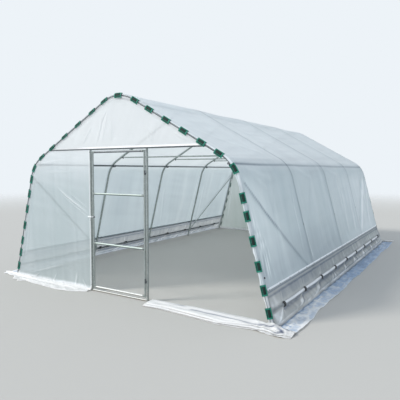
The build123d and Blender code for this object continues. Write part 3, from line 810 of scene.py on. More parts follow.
def curtain_on_ground(x, y, z, white, seed):
    """The crumples, waves and tones of a curtain's strip on the ground, with painted highlights on the
    crumples, painted light near the front, and painted shade along the foot and in creases.
    """
    ground = fade(ROW, 75, 79)
    ridged = 1 - np.abs(soft_noise(y * 5 + 2 * x, x * 13, seed + 7))
    fine = 1 - np.abs(soft_noise(y * 15 + 3 * x, x * 24, seed + 8))
    lift = 0.007 * ridged ** 3 + 0.0035 * fine ** 3
    share = np.clip((x - GROUND_FLARE_X) / (GROUND_SIDE_X - GROUND_FLARE_X), 0.0, 1.0)
    wave = 0.022 * soft_noise(y * 3.1, 0.5, seed + 9) + 0.012 * soft_noise(y * 9.0, 2.5, seed + 10)
    curl = 0.010 * np.clip(soft_noise(y * 4.3, 7.5, seed + 11), 0, 1) * share ** 3
    x = x + ground * share * wave
    z = np.maximum(z + ground * (lift * (1 - 0.3 * share) + curl), LOWEST_FILM)
    # Painted highlights on the crumples, and painted light near the front.
    near_front = 1 - fade(y, -2.9, 0.2)
    white = white + ground * (-0.20 + (0.35 + 0.25 * near_front) * ridged ** 4 + 0.40 * fine ** 6
                              + 0.76 * near_front + 0.30 * fade(share, 0.85, 1.0))
    # Painted shade: a dark line where the curtain turns onto the ground, and dark creases near the front.
    notch = 76.5 + 1.6 * soft_noise(y * 8.0, 3.5, seed + 13)
    white = white - (0.85 + 0.3 * soft_noise(y * 15.0, 8.5, seed + 14)) * hump(ROW, notch, 1.5)
    for start, end, width in (((2.000, -2.925), (2.085, -3.010), 0.018),
                              ((2.150, -3.020), (2.235, -2.980), 0.016),
                              ((2.060, -2.900), (2.150, -2.930), 0.010)):
        white = white - 1.1 * near_line(x, y, start, end, width, 0.2) * ground
    return x, z, white


def make_curtain(side):
    """The curtain below a rail: slack above its tube, rolled round it, pleated down to the ground."""
    name, seed = ("right", 100) if side > 0 else ("left", 200)
    y = np.linspace(FRONT_Y, REAR_Y, 700)[None, :]
    nearest = np.min([np.abs(y - clip_y) for clip_y in TUBE_CLIP_Y], axis=0)
    roll = np.maximum((y > TUBE_CLIP_Y[0]) & (y < TUBE_CLIP_Y[-1]), 1 - fade(nearest, 0.0, 0.10))
    close = 1 - fade(REAR_Y - np.abs(y), 0.0, 0.026)
    x, z = [(hung * (1 - roll) + rolled * roll) * (1 - close) + drawn * close for hung, rolled, drawn
            in zip(*[curtain_line(kind) for kind in ("hung", "rolled", "close")])]
    x, white = curtain_upright(x, y, z, nearest, close, seed)
    x, z, white = curtain_on_ground(x, y, z, white, seed)

    wide, high, leg = x[:, :1], z[:, :1], 1 - fade(ROW, 70, 76)
    lip_out, lip_forward, streak = lip_columns(on_leg(high, side))
    columns = lip_out.shape[1]
    lip_x = leg_x(high, lip_out + 0.0006) * leg + wide * (1 - leg)
    lip_y = lip_forward * leg + 0.045 * np.arange(1, columns + 1) / columns * (1 - leg)
    y = np.hstack([FRONT_Y - lip_y[:, ::-1], y + 0 * ROW, REAR_Y + lip_y])
    x, z = lapped(x, lip_x), lapped(z, np.repeat(high, columns, axis=1))
    white = lapped(white, 0.65 + streak * leg)
    piece = sheet_piece(f"{name}_curtain_sheet", side * x, y, z, y, ROW * ROW_RUN, white, CURTAIN_FILM,
                        (side, 0.0, 0.6))
    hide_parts(f"{name}_roll_film")


# The ends

def make_gable(reach=1.222):
    """The gable film, hemmed round the header and laid against the front arch."""
    x = np.linspace(-reach, reach, 201)[None, :]
    top = roof_height(x, -GABLE_INSET)
    rows = []
    for lift, turn in ((0.0013, 12), (0.0013, 24), (0.0013, 38), (0.0015, 54), (0.0020, 70)):
        radius = HEADER_R + lift
        rows.append((FRONT_Y - radius * cos(radians(turn)), HEADER_Z + radius * sin(radians(turn)),
                     turn * 0.0003))
    start = HEADER_Z + 0.022
    for share in np.linspace(0.0, 1.0, 60) ** 0.95:
        z = start + (np.maximum(top, start + 0.0005) - start) * share
        bulge = 0.0070 * (1 - fade(top - z, 0.0, 0.05)) * (share > 0.05)
        rows.append((FRONT_Y - 0.0060 - bulge, z, 0.03 + 0.68 * share))
    y, z, v = [np.vstack([row + 0 * x for row in part]) for part in zip(*rows)]
    z = np.minimum(z, np.maximum(top, start))
    free = fade(top - z, 0.01, 0.12) * fade(z, HEADER_Z + 0.03, HEADER_Z + 0.14)
    lean = x + (z - HEADER_Z) * -0.45
    drape, fine = soft_noise(lean * 9.0, z * 1.2, 31), soft_noise(lean * 24.0, z * 2.2, 33)
    y = y + free * (0.006 * soft_noise(x * 2.0, z * 2.0, 32) + 0.0045 * drape)
    y = y + 0.0012 * fine * free
    white = 0.05 + (0.07 * drape + 0.07 * fine) * free
    bent = x + 0.012 * soft_noise(x * 2, z * 9, 34)
    # Wrinkles: mostly dark lines of painted shade, one with a painted highlight.
    y, white = creased(y, white, bent, z, (
        ((-0.372, 1.82), (-0.200, 2.27), 0.010, -0.008, -0.22),
        ((-0.345, 1.82), (-0.175, 2.27), 0.010, 0.004, 0.40),
        ((-0.290, 1.83), (-0.165, 2.18), 0.010, -0.007, -0.17),
        ((-0.130, 1.83), (-0.105, 2.15), 0.011, -0.006, -0.14),
        ((-0.620, 1.83), (-0.420, 2.08), 0.012, -0.006, -0.10),
        ((0.520, 1.83), (0.420, 2.05), 0.014, -0.005, -0.08),
        ((0.980, 1.83), (0.800, 1.94), 0.012, -0.004, -0.08)))
    hem = 1 - fade(z, HEADER_Z + 0.020, HEADER_Z + 0.026)
    white = np.maximum(white, hem * (0.15 + 0.85 * fade(x, -0.80, -0.45)))
    piece = sheet_piece("gable_film_sheet", x, y, z, x, v, white, GABLE_FILM, FORWARDS)
    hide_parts("front_gable_film")


def make_front_panel():
    """The film left of the door, between the leg, the header and the post."""
    z = np.concatenate([np.linspace(0.004, 0.30, 52), np.linspace(0.31, HEADER_Z - 0.010, 100)])[:, None]
    outer = half_width(z, -GABLE_INSET)
    inner = -LEFT_POST_X + POST_R * 0.2
    x = -(outer + (inner - outer) * np.linspace(0.0, 1.0, 121)[None, :])
    from_leg, from_post = outer + x, -x - inner
    free = fade(from_leg, 0.015, 0.11) * fade(from_post, 0.01, 0.10) * fade(HEADER_Z - z, 0.02, 0.10)
    drape = soft_noise(x * 7.0 + z * 0.6, z * 1.1, 41)
    fine = soft_noise(x * 26.0 + z * 1.5, z * 1.6, 45)
    y = FRONT_Y - 0.0090 - 0.0040 * (1 - fade(from_leg, 0.015, 0.11))
    y = y - 0.0055 * (1 - fade(from_post, 0.0, 0.03))
    y = y + free * (0.007 * soft_noise(x * 2.2, z * 1.7, 42) + 0.0026 * drape)
    y = y + 0.0012 * fine * free
    smears = soft_noise(x * 1.4 + z, z * 15.0 + x * 2.0, 47) * fade(z, 0.3, 1.2)
    white = 0.02 + (0.06 * np.abs(drape) + 0.045 * fine + 0.07 * smears) * free
    bent = x + 0.016 * soft_noise(x * 2.0, z * 6.0, 46)
    # Creases: whiteness partly painted highlight, with painted shade on a dark side.
    y, white = creased(y, white, bent, z, (
        ((-1.140, 1.330), (-0.480, 0.950), 0.009, -0.007, 0.95),
        ((-1.080, 1.270), (-0.490, 0.905), 0.008, 0.004, 0.45),
        ((-0.900, 1.270), (-0.480, 1.010), 0.007, -0.004, 0.40),
        ((-1.560, 1.600), (-0.900, 1.665), 0.012, -0.004, 0.35),
        ((-1.350, 1.500), (-0.700, 1.520), 0.014, -0.003, 0.18),
        ((-1.700, 1.100), (-1.860, 0.250), 0.010, -0.005, 0.35),
        ((-1.660, 0.900), (-1.790, 0.200), 0.014, -0.004, 0.20),
        ((-1.760, 0.060), (-0.900, 0.300), 0.014, -0.005, 0.22),
        ((-1.200, 0.000), (-1.120, 0.160), 0.009, -0.005, 0.40),
        ((-0.775, -0.020), (-0.740, 0.230), 0.013, -0.006, 0.50),
        ((-0.560, 0.000), (-0.660, 0.150), 0.008, -0.005, 0.40),
        ((-1.600, 0.010), (-1.470, 0.120), 0.009, -0.005, 0.25)), tone_taper=0.4, dark_side=0.3)
    y = y - (1 - fade(z, 0.0, 0.06)) * (0.010 + 0.006 * soft_noise(x * 15, z * 8, 43))
    white = white + 0.9 * (1 - fade(z, 0.020 + 0.02 * soft_noise(x * 6, 1.0, 44), 0.075))
    white = white + 0.75 * (1 - fade(from_post, 0.012, 0.022)) + 0.25 * (1 - fade(from_leg, 0.03, 0.06))
    piece = sheet_piece("front_panel_sheet", x, y, z, x, z, white, PANEL_FILM, FORWARDS)
    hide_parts("front_left_film")


def make_rear():
    """The whole rear end, one film laid over the rear arch, header and posts."""
    z = np.concatenate([np.linspace(0.004, 0.28, 40), np.linspace(0.30, 2.385, 160)])[:, None]
    outer = half_width(z, -REAR_INSET)
    ridge = bend_reach(RIDGE_BEND - REAR_INSET, z - RIDGE_CENTRE_Z)
    outer = np.where(z > RAFTER_TOP[1] - REAR_INSET * cos(SLOPE), np.minimum(outer, ridge), outer)
    x = outer * np.linspace(-1.0, 1.0, 221)[None, :]
    from_edge = outer - np.abs(x)
    from_bars = 1.0
    for place, bar in ((x, LEFT_POST_X), (x, RIGHT_POST_X), (z, HEADER_Z)):
        from_bars = np.minimum(from_bars, fade(np.abs(place - bar), 0.01, 0.10))
    free = fade(from_edge, 0.01, 0.12) * from_bars
    drape = soft_noise(x * 6.5 + z * 0.5, z * 1.2, 51)
    y = REAR_Y + 0.0160 + free * (0.006 * soft_noise(x * 1.8, z * 1.8, 52) + 0.005 * drape - 0.004)
    white = 0.04 + 0.10 * np.abs(drape) * fade(from_edge, 0.01, 0.12)
    # Creases, whose whiteness is partly painted highlight.
    y, white = creased(y, white, x, z, (
        ((-1.60, 1.20), (-1.75, 0.20), 0.014, 0.005, 0.35), ((1.62, 1.15), (1.78, 0.20), 0.014, 0.005, 0.35),
        ((0.60, 1.60), (1.20, 0.70), 0.018, 0.006, 0.22), ((-0.55, 1.45), (-1.10, 0.80), 0.018, 0.006, 0.22),
        ((-0.20, 2.25), (-0.30, 1.84), 0.014, 0.005, 0.20), ((0.30, 2.15), (0.45, 1.84), 0.014, 0.005, 0.20),
        ((0.10, 0.02), (0.06, 0.22), 0.014, 0.006, 0.35), ((-1.20, 0.02), (-1.15, 0.20), 0.014, 0.006, 0.35),
        ((1.10, 0.02), (1.16, 0.24), 0.014, 0.006, 0.35)))
    y = y + (1 - fade(z, 0.0, 0.08)) * (0.010 + 0.005 * soft_noise(x * 14, z * 8, 53))
    white = white + 0.9 * (1 - fade(z, 0.02, 0.07)) + 0.25 * (1 - fade(from_edge, 0.02, 0.05))
    piece = sheet_piece("rear_film_sheet", x, y, z, x, z, white, REAR_FILM, BACKWARDS)
    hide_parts("rear_end_film")


# Film on the ground

def ground_outline(points, x):
    """The y of a free edge at each x, through its corners."""
    return np.interp(x, [point[0] for point in points], [point[1] for point in points])


def crumple(x, y, seed, height=0.010):
    """The small peaks of crumpled film on the ground, and a share highest on them that is used as whiteness,
    partly painted highlight.
    """
    broad = 1 - np.abs(soft_noise(x * 9, y * 12, seed))
    fine = 1 - np.abs(soft_noise(x * 24 + 2 * y, y * 28, seed + 1))
    return height * (0.75 * broad ** 3 + 0.35 * fine ** 3), 0.5 * broad ** 2 + 0.5 * fine ** 2


def flat_edge(z, x, share, scale, seed):
    """A strip's heights with its free edge let down to the ground, in low waves."""
    return z * (1 - fade(share, 0.86, 1.0)) + 0.003 + 0.006 * np.clip(soft_noise(x * scale, 2.0, seed), 0, 1)


def make_front_skirt(end_x=-0.480):
    """The bright folded strip on the ground in front of the left panel."""
    x = np.linspace(-GROUND_SIDE_X, end_x, 240)[None, :]
    share = np.linspace(0.0, 1.0, 44)[:, None]
    edge = ground_outline([(-GROUND_SIDE_X, -0.060), (-2.168, -0.045), (-2.05, -0.085),
                           (-1.95, -0.080), (-1.842, -0.187), (-1.76, -0.170), (-1.686, -0.233),
                           (-1.60, -0.150), (-1.42, -0.188), (-1.223, -0.199), (-0.991, -0.222),
                           (-0.839, -0.233), (-0.66, -0.190), (end_x, -0.095)], x)
    back = np.where(x < -1.99, -0.010, -0.017)
    y = FRONT_Y + back + (edge - back) * share
    lift, ridges = crumple(x, y, 61)
    long_fold = near_line(x, y - FRONT_Y, (-2.05, -0.030), (-0.60, -0.085), 0.016, 0.1)
    second = near_line(x, y - FRONT_Y, (-1.80, -0.110), (-0.90, -0.170), 0.014, 0.15)
    rise = 0.020 * (1 - fade(share, 0.0, 0.25))
    z = flat_edge(0.004 + lift + rise + 0.014 * long_fold + 0.010 * second, x, share, 5, 63)
    # Whiter on the crumples and the long fold, partly painted highlight.
    white = 0.6 + 0.4 * ridges + 0.3 * long_fold
    piece = sheet_piece("front_skirt_sheet", x, y, z, x, y, white, GROUND_FILM, UPWARDS)
    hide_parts("front_left_skirt")


def make_rear_skirt():
    """The strip on the ground behind the rear end."""
    x = np.linspace(-GROUND_SIDE_X, GROUND_SIDE_X, 440)[None, :]
    share = np.linspace(0.0, 1.0, 40)[:, None]
    edge = 0.215 + 0.025 * soft_noise(x * 2.6, 0.5, 71) + 0.012 * soft_noise(x * 8.0, 1.5, 72)
    y = REAR_Y + 0.017 + (edge - 0.017) * share
    lift, ridges = crumple(x, y, 73)
    z = flat_edge(0.004 + lift + 0.020 * (1 - fade(share, 0.0, 0.22)), x, share, 4, 74)
    piece = sheet_piece("rear_skirt_sheet", x, y, z, x, y, 0.5 + 0.5 * ridges, GROUND_FILM, UPWARDS)
    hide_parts("rear_skirt")


def folded_layers(x, front, back, layers=6, steps=18, depth=0.27):
    """A film folded to and fro between two edges: y, z, its flat run and its whiteness."""
    rows = []
    for layer in range(layers):
        for step in range(steps):
            share = step / (steps - 1)
            across = share if layer % 2 == 0 else 1 - share
            inset = 0.018 * layer + 0.030 * soft_noise(x * 1.7, layer * 3.0, 81)
            low = front + np.maximum(inset, 0.0) * (0.5 + 0.5 * (layer > 0))
            high = back - np.maximum(inset * 0.6, 0.0) * (layer > 0)
            turn = sin(pi * share) ** 0.35 if 0 < share < 1 else 0.0
            mound = 0.004 * layer * turn + 0.0035 * layer
            wave = 0.0030 * (1 + soft_noise(x * 6 + layer, across * 2.5, 82 + layer)) * (layer + 1) / 3
            tone = 0.45 + 0.35 * abs(2 * share - 1) ** 4 + 0.08 * soft_noise(x * 8, share * 4, 90)
            rows.append((FRONT_Y + (low + (high - low) * across), 0.003 + mound + wave,
                         layer * depth + depth * share, tone))
    return [np.vstack([row + 0 * x for row in part]) for part in zip(*rows)]


def make_dropped_film(start_x=0.452):
    """The front right panel, let down and folded in long pleats along the ground, with painted shade in its
    creases and painted highlight on its crumpled corner.
    """
    x = np.linspace(start_x, GROUND_SIDE_X, 200)[None, :]
    front = ground_outline([(start_x, -0.120), (0.493, -0.184), (0.729, -0.170), (1.10, -0.205),
                            (1.48, -0.242), (1.811, -0.190), (2.00, -0.215), (2.115, -0.243),
                            (GROUND_SIDE_X, -0.205)], x)
    back = ground_outline([(start_x, 0.060), (1.20, 0.085), (1.80, 0.080), (1.93, -0.022),
                           (GROUND_SIDE_X, -0.030)], x)
    y, z, v, white = folded_layers(x, front, back)
    forward = y - FRONT_Y
    ends = fade(x, start_x, 0.52) * (1 - fade(x, 2.10, GROUND_SIDE_X))
    z = 0.003 + (z - 0.003) * (0.35 + 0.65 * ends)
    z = z + 0.012 * near_line(x, forward, (0.95, -0.035), (1.90, -0.075), 0.016, 0.1) * ends
    # Painted shade in the long creases.
    for start, end in (((0.80, -0.020), (1.95, -0.045)), ((1.00, -0.075), (2.05, -0.120))):
        crease = near_line(x, forward, start, end, 0.010, 0.1)
        white = white - 1.1 * crease
        z = z - 0.006 * crease * ends
    lift, ridges = crumple(x, y, 95, 0.008)
    corner = fade(x, 1.72, 1.92)
    z = z + lift * 2.0 * corner
    # Painted highlight on the corner's crumples and painted shade between them.
    white = white + corner * (0.8 * ridges - 0.50)
    # Dark creases of painted shade at the corner.
    for start, end, width, depth in (((2.100, -0.095), (2.225, -0.080), 0.018, 1.2),
                                     ((2.040, -0.200), (2.170, -0.135), 0.013, 0.8),
                                     ((2.010, -0.090), (2.190, -0.185), 0.013, 0.7),
                                     ((1.920, -0.140), (2.060, -0.095), 0.012, 0.9)):
        white = white - depth * near_line(x, forward, start, end, width, 0.25)
    heap = hump(x, 1.99, 0.075) * hump(forward, -0.035, 0.035)
    z = np.maximum(z + 0.045 * heap * (1 + 0.3 * soft_noise(x * 30, y * 30, 97)), LOWEST_FILM)
    piece = sheet_piece("dropped_film_sheet", x, y, z, x, v, white, GROUND_FILM, UPWARDS)
    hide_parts("dropped_front_film")


make_cover()
make_curtain(1)
make_curtain(-1)
make_gable()
make_front_panel()
make_rear()
make_front_skirt()
make_rear_skirt()
make_dropped_film()


# Parts of the Geometry Nodes trees

def new_tree(name, values, materials):
    """A Geometry Nodes tree with a mesh of points in, named sizes and materials."""
    tree = bpy.data.node_groups.new(name, "GeometryNodeTree")
    sockets = [("Points", "NodeSocketGeometry")]
    sockets += [(label, "NodeSocketInt" if isinstance(value, int) else "NodeSocketFloat")
                for label, value in values.items()]
    sockets += [(label, "NodeSocketMaterial") for label in materials]
    for label, kind in sockets:
        socket = tree.interface.new_socket(label, in_out="INPUT", socket_type=kind)
        if label in values:
            socket.default_value = values[label]
    tree.interface.new_socket("Pieces", in_out="OUTPUT", socket_type="NodeSocketGeometry")
    return tree, tree.nodes.new("NodeGroupInput").outputs, tree.nodes.new("NodeGroupOutput").inputs


def moved(tree, geometry, place, turn=(0.0, 0.0, 0.0)):
    """Geometry turned and put in its place."""
    return add(tree, "GeometryNodeTransform", {"Geometry": geometry, "Translation": place,
                                               "Rotation": Euler(turn)}).outputs[0]


def band(tree, radius, wall, width, start, sweep, resolution, shift=0.0):
    """A curved band about the X axis, with a wall and a width along it."""
    arc = add(tree, "GeometryNodeCurveArc", {"Resolution": resolution, "Radius": radius,
                                             "Start Angle": start, "Sweep Angle": sweep})
    profile = add(tree, "GeometryNodeCurvePrimitiveQuadrilateral", {"Width": wall, "Height": width})
    joints = add(tree, "GeometryNodeSubdivideCurve", {"Curve": profile.outputs[0], "Cuts": 2})
    solid = add(tree, "GeometryNodeCurveToMesh",
                {"Curve": arc.outputs[0], "Profile Curve": joints.outputs[0], "Fill Caps": True})
    return moved(tree, solid.outputs[0], triple(tree, shift), (0.0, pi / 2, 0.0))


def block(tree, size, place, steps=2):
    """A small flat bar."""
    cube = add(tree, "GeometryNodeMeshCube", {"Size": triple(tree, *size), "Vertices X": steps})
    return moved(tree, cube.outputs[0], triple(tree, *place))


def disc(tree, vertices, radius, depth, height, turn=(0.0, 0.0, 0.0)):
    """A washer or a bolt's head at a height."""
    shape = add(tree, "GeometryNodeMeshCylinder", {"Vertices": vertices, "Radius": radius,
                                                   "Depth": depth})
    return moved(tree, shape.outputs[0], triple(tree, z=height), turn)


def painted(tree, geometry, material):
    """Geometry with a material."""
    return add(tree, "GeometryNodeSetMaterial", {"Geometry": geometry, "Material": material}).outputs[0]


def joined(tree, parts):
    """Several geometries as one."""
    node = add(tree, "GeometryNodeJoinGeometry")
    for part in parts:
        tree.links.new(part, node.inputs[0])
    return node.outputs[0]


def aimed(tree, axis):
    """The turn that points an axis in the direction of each point."""
    facing = add(tree, "GeometryNodeInputNamedAttribute", {"Name": "facing"}, data_type="FLOAT_VECTOR")
    return add(tree, "FunctionNodeAlignRotationToVector", {"Vector": facing.outputs[0]},
               axis=axis).outputs[0]


def planted(tree, points, shape, turn):
    """A real copy of a shape on each point."""
    placed = add(tree, "GeometryNodeInstanceOnPoints",
                 {"Points": points, "Instance": shape, "Rotation": turn})
    return add(tree, "GeometryNodeRealizeInstances", {"Geometry": placed.outputs[0]}).outputs[0]


# Trees for what repeats

def make_clip_tree():
    """A snap clip on each point: hooked round the tube's outer side, with a flat plate over the
    film's edge, a raised rim round the recess and a lip at each long side."""
    tree, given, result = new_tree(
        "snap clips", {"Length": 0.110, "Radius": 0.0212, "Wall": 0.0030, "Rim": 0.0024,
                       "Rim Width": 0.015, "Start": radians(166.0), "Sweep": radians(104.0),
                       "Plate": 0.0290, "Wing": 0.008, "Turn": 0.04, "Seed": 7},
        ("Body Finish", "Rim Finish"))
    length, radius, wall, rim, rim_width = [
        given[name] for name in ("Length", "Radius", "Wall", "Rim", "Rim Width")]
    start, sweep, plate, wing, most_turn = [
        given[name] for name in ("Start", "Sweep", "Plate", "Wing", "Turn")]
    rim_radius = plus(tree, radius, times(tree, plus(tree, wall, rim), 0.5))
    front, rim_front = times(tree, radius, -1.0), times(tree, rim_radius, -1.0)
    middle, end = times(tree, plate, -0.5), times(tree, plate, -1.0)
    body = [band(tree, radius, wall, length, start, sweep, 10),
            block(tree, (length, wall, plate), (0.0, front, middle), 4)]

    rims = []
    inset = times(tree, maths(tree, "SUBTRACT", length, rim_width), 0.5)
    for place in (inset, times(tree, inset, -1.0)):
        rims.append(band(tree, rim_radius, rim, rim_width, start, sweep, 10, place))
        rims.append(block(tree, (rim_width, rim, plate), (place, rim_front, middle)))
    rims.append(band(tree, rim_radius, rim, length, start, times(tree, sweep, 0.42), 6))
    rims.append(block(tree, (length, rim, 0.007), (0.0, rim_front, plus(tree, end, 0.0035)), 4))
    hook = maths(tree, "SUBTRACT", 0.005, radius)
    rims.append(block(tree, (length, 0.010, 0.0026), (0.0, hook, end), 4))
    rims.append(block(tree, (length, times(tree, rim, 0.5), 0.0035),
                      (0.0, plus(tree, front, -0.0022), times(tree, plate, -0.36)), 4))
    across = times(tree, radius, maths(tree, "MINIMUM", maths(tree, "SINE", start), -0.35))
    wing_place = plus(tree, times(tree, radius, maths(tree, "COSINE", start)), times(tree, wing, -0.40))
    rims.append(block(tree, (length, wall, wing), (0.0, across, times(tree, wing_place, -1.0)), 4))

    clip = joined(tree, [painted(tree, joined(tree, body), given["Body Finish"]),
                         painted(tree, joined(tree, rims), given["Rim Finish"])])
    draw = add(tree, "FunctionNodeRandomValue",
               {0: triple(tree, times(tree, most_turn, -1.0)), 1: triple(tree, most_turn),
                "Seed": given["Seed"]}, data_type="FLOAT_VECTOR")
    turn = add(tree, "FunctionNodeEulerToRotation", {"Euler": draw.outputs[0]})
    tree.links.new(planted(tree, given["Points"], clip, turn.outputs[0]), result["Pieces"])
    return tree


def make_bolt_tree():
    """A washer and a hex head on each point, facing the point's direction."""
    tree, given, result = new_tree(
        "bolts", {"Head": 0.0065, "Head Height": 0.0045, "Washer": 0.0095, "Washer Height": 0.0015},
        ("Finish",))
    washer_height, head_height = given["Washer Height"], given["Head Height"]
    bolt = joined(tree, [
        disc(tree, 6, given["Head"], head_height, plus(tree, washer_height, times(tree, head_height, 0.5))),
        disc(tree, 20, given["Washer"], washer_height, times(tree, washer_height, 0.5))])
    whole = planted(tree, given["Points"], bolt, aimed(tree, "Z"))
    tree.links.new(painted(tree, whole, given["Finish"]), result["Pieces"])
    return tree


def make_clamp_tree():
    """A pipe clamp on each point, one ring or a pair joined by a saddle, with ears and a bolt."""
    tree, given, result = new_tree(
        "pipe clamps", {"Radius": 0.0125, "Wall": 0.0020, "Width": 0.014, "Gap": 0.024, "Ear": 0.012},
        ("Finish",))
    wall, width, gap, ear, cheek_y = given["Wall"], given["Width"], given["Gap"], given["Ear"], 0.0032
    middle = plus(tree, given["Radius"], times(tree, wall, 0.5))
    low = times(tree, plus(tree, middle, times(tree, ear, 0.5)), -1.0)
    parts = []
    for side in (-1.0, 1.0):
        shift = times(tree, gap, side)
        parts.append(band(tree, middle, wall, width, radians(12.0), radians(336.0), 22, shift))
        parts += [block(tree, (width, wall, ear), (shift, y, low)) for y in (-cheek_y, cheek_y)]
    parts.append(block(tree, (times(tree, gap, 2.0), wall, ear), (0.0, cheek_y, low)))
    parts.append(disc(tree, 6, 0.0045, 0.018, low, (pi / 2, 0.0, 0.0)))
    upright = add(tree, "FunctionNodeAlignRotationToVector",
                  {"Rotation": aimed(tree, "X"), "Vector": triple(tree, z=1.0)},
                  axis="Z", pivot_axis="X")
    whole = planted(tree, given["Points"], joined(tree, parts), upright.outputs[0])
    tree.links.new(painted(tree, whole, given["Finish"]), result["Pieces"])
    return tree


def make_sleeve_tree():
    """A plain sleeve round a tube on each point."""
    tree, given, result = new_tree("sleeves", {"Radius": 0.0125, "Wall": 0.0015, "Width": 0.022},
                                   ("Finish",))
    radius = plus(tree, given["Radius"], times(tree, given["Wall"], 0.55))
    ring = add(tree, "GeometryNodeCurvePrimitiveCircle", {"Resolution": 28, "Radius": radius})
    profile = add(tree, "GeometryNodeCurvePrimitiveQuadrilateral",
                  {"Width": given["Wall"], "Height": given["Width"]})
    solid = add(tree, "GeometryNodeCurveToMesh", {"Curve": ring.outputs[0],
                                                  "Profile Curve": profile.outputs[0]})
    whole = planted(tree, given["Points"], solid.outputs[0], aimed(tree, "Z"))
    tree.links.new(painted(tree, whole, given["Finish"]), result["Pieces"])
    return tree


CLIP_TREE, BOLT_TREE = make_clip_tree(), make_bolt_tree()
CLAMP_TREE, SLEEVE_TREE = make_clamp_tree(), make_sleeve_tree()


# Pieces grown from the trees

def grown(tree, points, values, facing=None):
    """The plain mesh that a tree grows on some points."""
    mesh = bpy.data.meshes.new("points")
    mesh.from_pydata([tuple(point) for point in points], [], [])
    if facing is not None:
        directions = mesh.attributes.new("facing", "FLOAT_VECTOR", "POINT")
        facing = np.broadcast_to(np.array(facing, np.float32), (len(points), 3))
        directions.data.foreach_set("vector", facing.ravel())
    seedbed = new_object("points", mesh)
    modifier = seedbed.modifiers.new("pieces", "NODES")
    modifier.node_group = tree
    sockets = {item.name: item.identifier for item in tree.interface.items_tree
               if item.in_out == "INPUT"}
    for name, value in values.items():
        modifier[sockets[name]] = value
    shaped = seedbed.evaluated_get(bpy.context.evaluated_depsgraph_get())
    result = bpy.data.meshes.new_from_object(shaped)
    bpy.data.objects.remove(seedbed)
    return result


def finished(name, mesh, body, slot, *stood_for):
    """A rigid piece on its body, its faces turned out, hiding the nodes it stands for. Its slot is not used."""
    work = bmesh.new()
    work.from_mesh(mesh)
    bmesh.ops.recalc_face_normals(work, faces=work.faces)
    work.to_mesh(mesh)
    work.free()
    mesh.name = name
    piece = new_object(name, mesh)
    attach(piece, body)
    if stood_for:
        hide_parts(*stood_for)


def mesh_points(mesh):
    """A mesh's points as rows of x, y and z."""
    points = np.zeros(len(mesh.vertices) * 3)
    mesh.vertices.foreach_get("co", points)
    return points.reshape(-1, 3)


def bend_to_arch(mesh, y, facing=1.0):
    """Lays a mesh that was made on a straight line round an arch: X runs along it, Z outwards. The
    plates on the front's left slope are half as deep as the others."""
    points = mesh_points(mesh)
    slope = fade(points[:, 0], -EAVE_START - 0.1, -EAVE_START + 0.1) * (points[:, 0] < -0.05)
    points[:, 2] *= np.where((points[:, 2] < 0) & (y < 0), 1 - 0.5 * slope, 1.0)
    x, z = arch_place(points[:, 0], points[:, 2])
    mesh.vertices.foreach_set("co", np.stack([x, y + points[:, 1] * facing, z], axis=1).ravel())
    mesh.update()


# Where the green clips sit, as stations
FRONT_CLIPS = ([on_leg(z, -1) for z in (0.155, 0.354, 0.530, 0.751, 0.985, 1.200, 1.400)]
               + [on_leg(z) for z in (0.131, 0.351, 0.582, 0.828, 1.073, 1.254)]
               + [on_rafter(x) for x in (-1.375, -1.165, -0.918, -0.670, -0.420, -0.215)]
               + [on_rafter(x) for x in (0.262, 0.470, 0.704, 0.934, 1.160, 1.372)]
               + [0.010, -(EAVE_START + 0.19), EAVE_START + 0.20])
REAR_CLIPS = ([on_leg(z, -1) for z in (0.139, 0.340, 0.543, 0.745, 0.947, 1.150, 1.365)]
              + [on_leg(z) for z in (0.139, 0.384, 0.628, 0.872, 1.120, 1.365)]
              + [side * on_rafter(x) for side in (-1, 1)
                 for x in (0.283, 0.494, 0.705, 0.917, 1.138, 1.350)]
              + [0.0, -(EAVE_START + EAVE_ARC / 2), EAVE_START + EAVE_ARC / 2])


def make_end_clips():
    """The green clips of both end arches."""
    for end, y, facing, stations, sizes in (
            ("front", FRONT_Y, 1.0, FRONT_CLIPS, {"Seed": 7}),
            ("rear", REAR_Y, -1.0, REAR_CLIPS,
             {"Seed": 8, "Start": radians(230.0), "Sweep": radians(40.0), "Wing": 0.002})):
        mesh = grown(CLIP_TREE, [(station, 0.0, 0.0) for station in stations],
                     {"Body Finish": CLIP_RECESS, "Rim Finish": CLIP_GREEN, **sizes})
        bend_to_arch(mesh, y, facing)
        finished(f"{end}_snap_clips", mesh, "tunnel", "green_clips", f"{end}_film_clips")


def make_tube_clips():
    """The black clips that hold the curtains to the lower tubes."""
    one = grown(CLIP_TREE, [(0.0, 0.0, 0.0)],
                {"Length": 0.042, "Radius": 0.0232, "Wall": 0.0035, "Rim": 0.0020, "Rim Width": 0.008,
                 "Start": radians(98.0), "Sweep": radians(172.0), "Turn": 0.0, "Wing": 0.002,
                 "Plate": 0.024, "Body Finish": CLIP_BLACK, "Rim Finish": CLIP_BLACK})
    base = mesh_points(one)
    faces = [tuple(face.vertices) for face in one.polygons]
    centre_x = leg_x(LOWER_TUBE_Z, LOWER_TUBE_OUT)
    vertices, polygons = [], []
    for side in (-1, 1):
        for clip_y in TUBE_CLIP_Y:
            start = len(vertices)
            for along, across, up in base:
                vertices.append((side * (centre_x - across), clip_y + along, LOWER_TUBE_Z + up))
            polygons += [tuple(start + corner for corner in face) for face in faces]
    mesh = bpy.data.meshes.new("tube clips")
    mesh.from_pydata(vertices, [], polygons)
    mesh.materials.append(CLIP_BLACK)
    finished("black_tube_clips", mesh, "tunnel", "black_clips", "tube_clips")


def fixed(name, tree, points, facing, finish, body="tunnel", slot="fittings", **sizes):
    """Fixings of one kind on their points, as one piece."""
    values = {label.replace("_", " ").title(): value for label, value in sizes.items()}
    finished(name, grown(tree, points, {"Finish": finish, **values}, facing), body, slot)


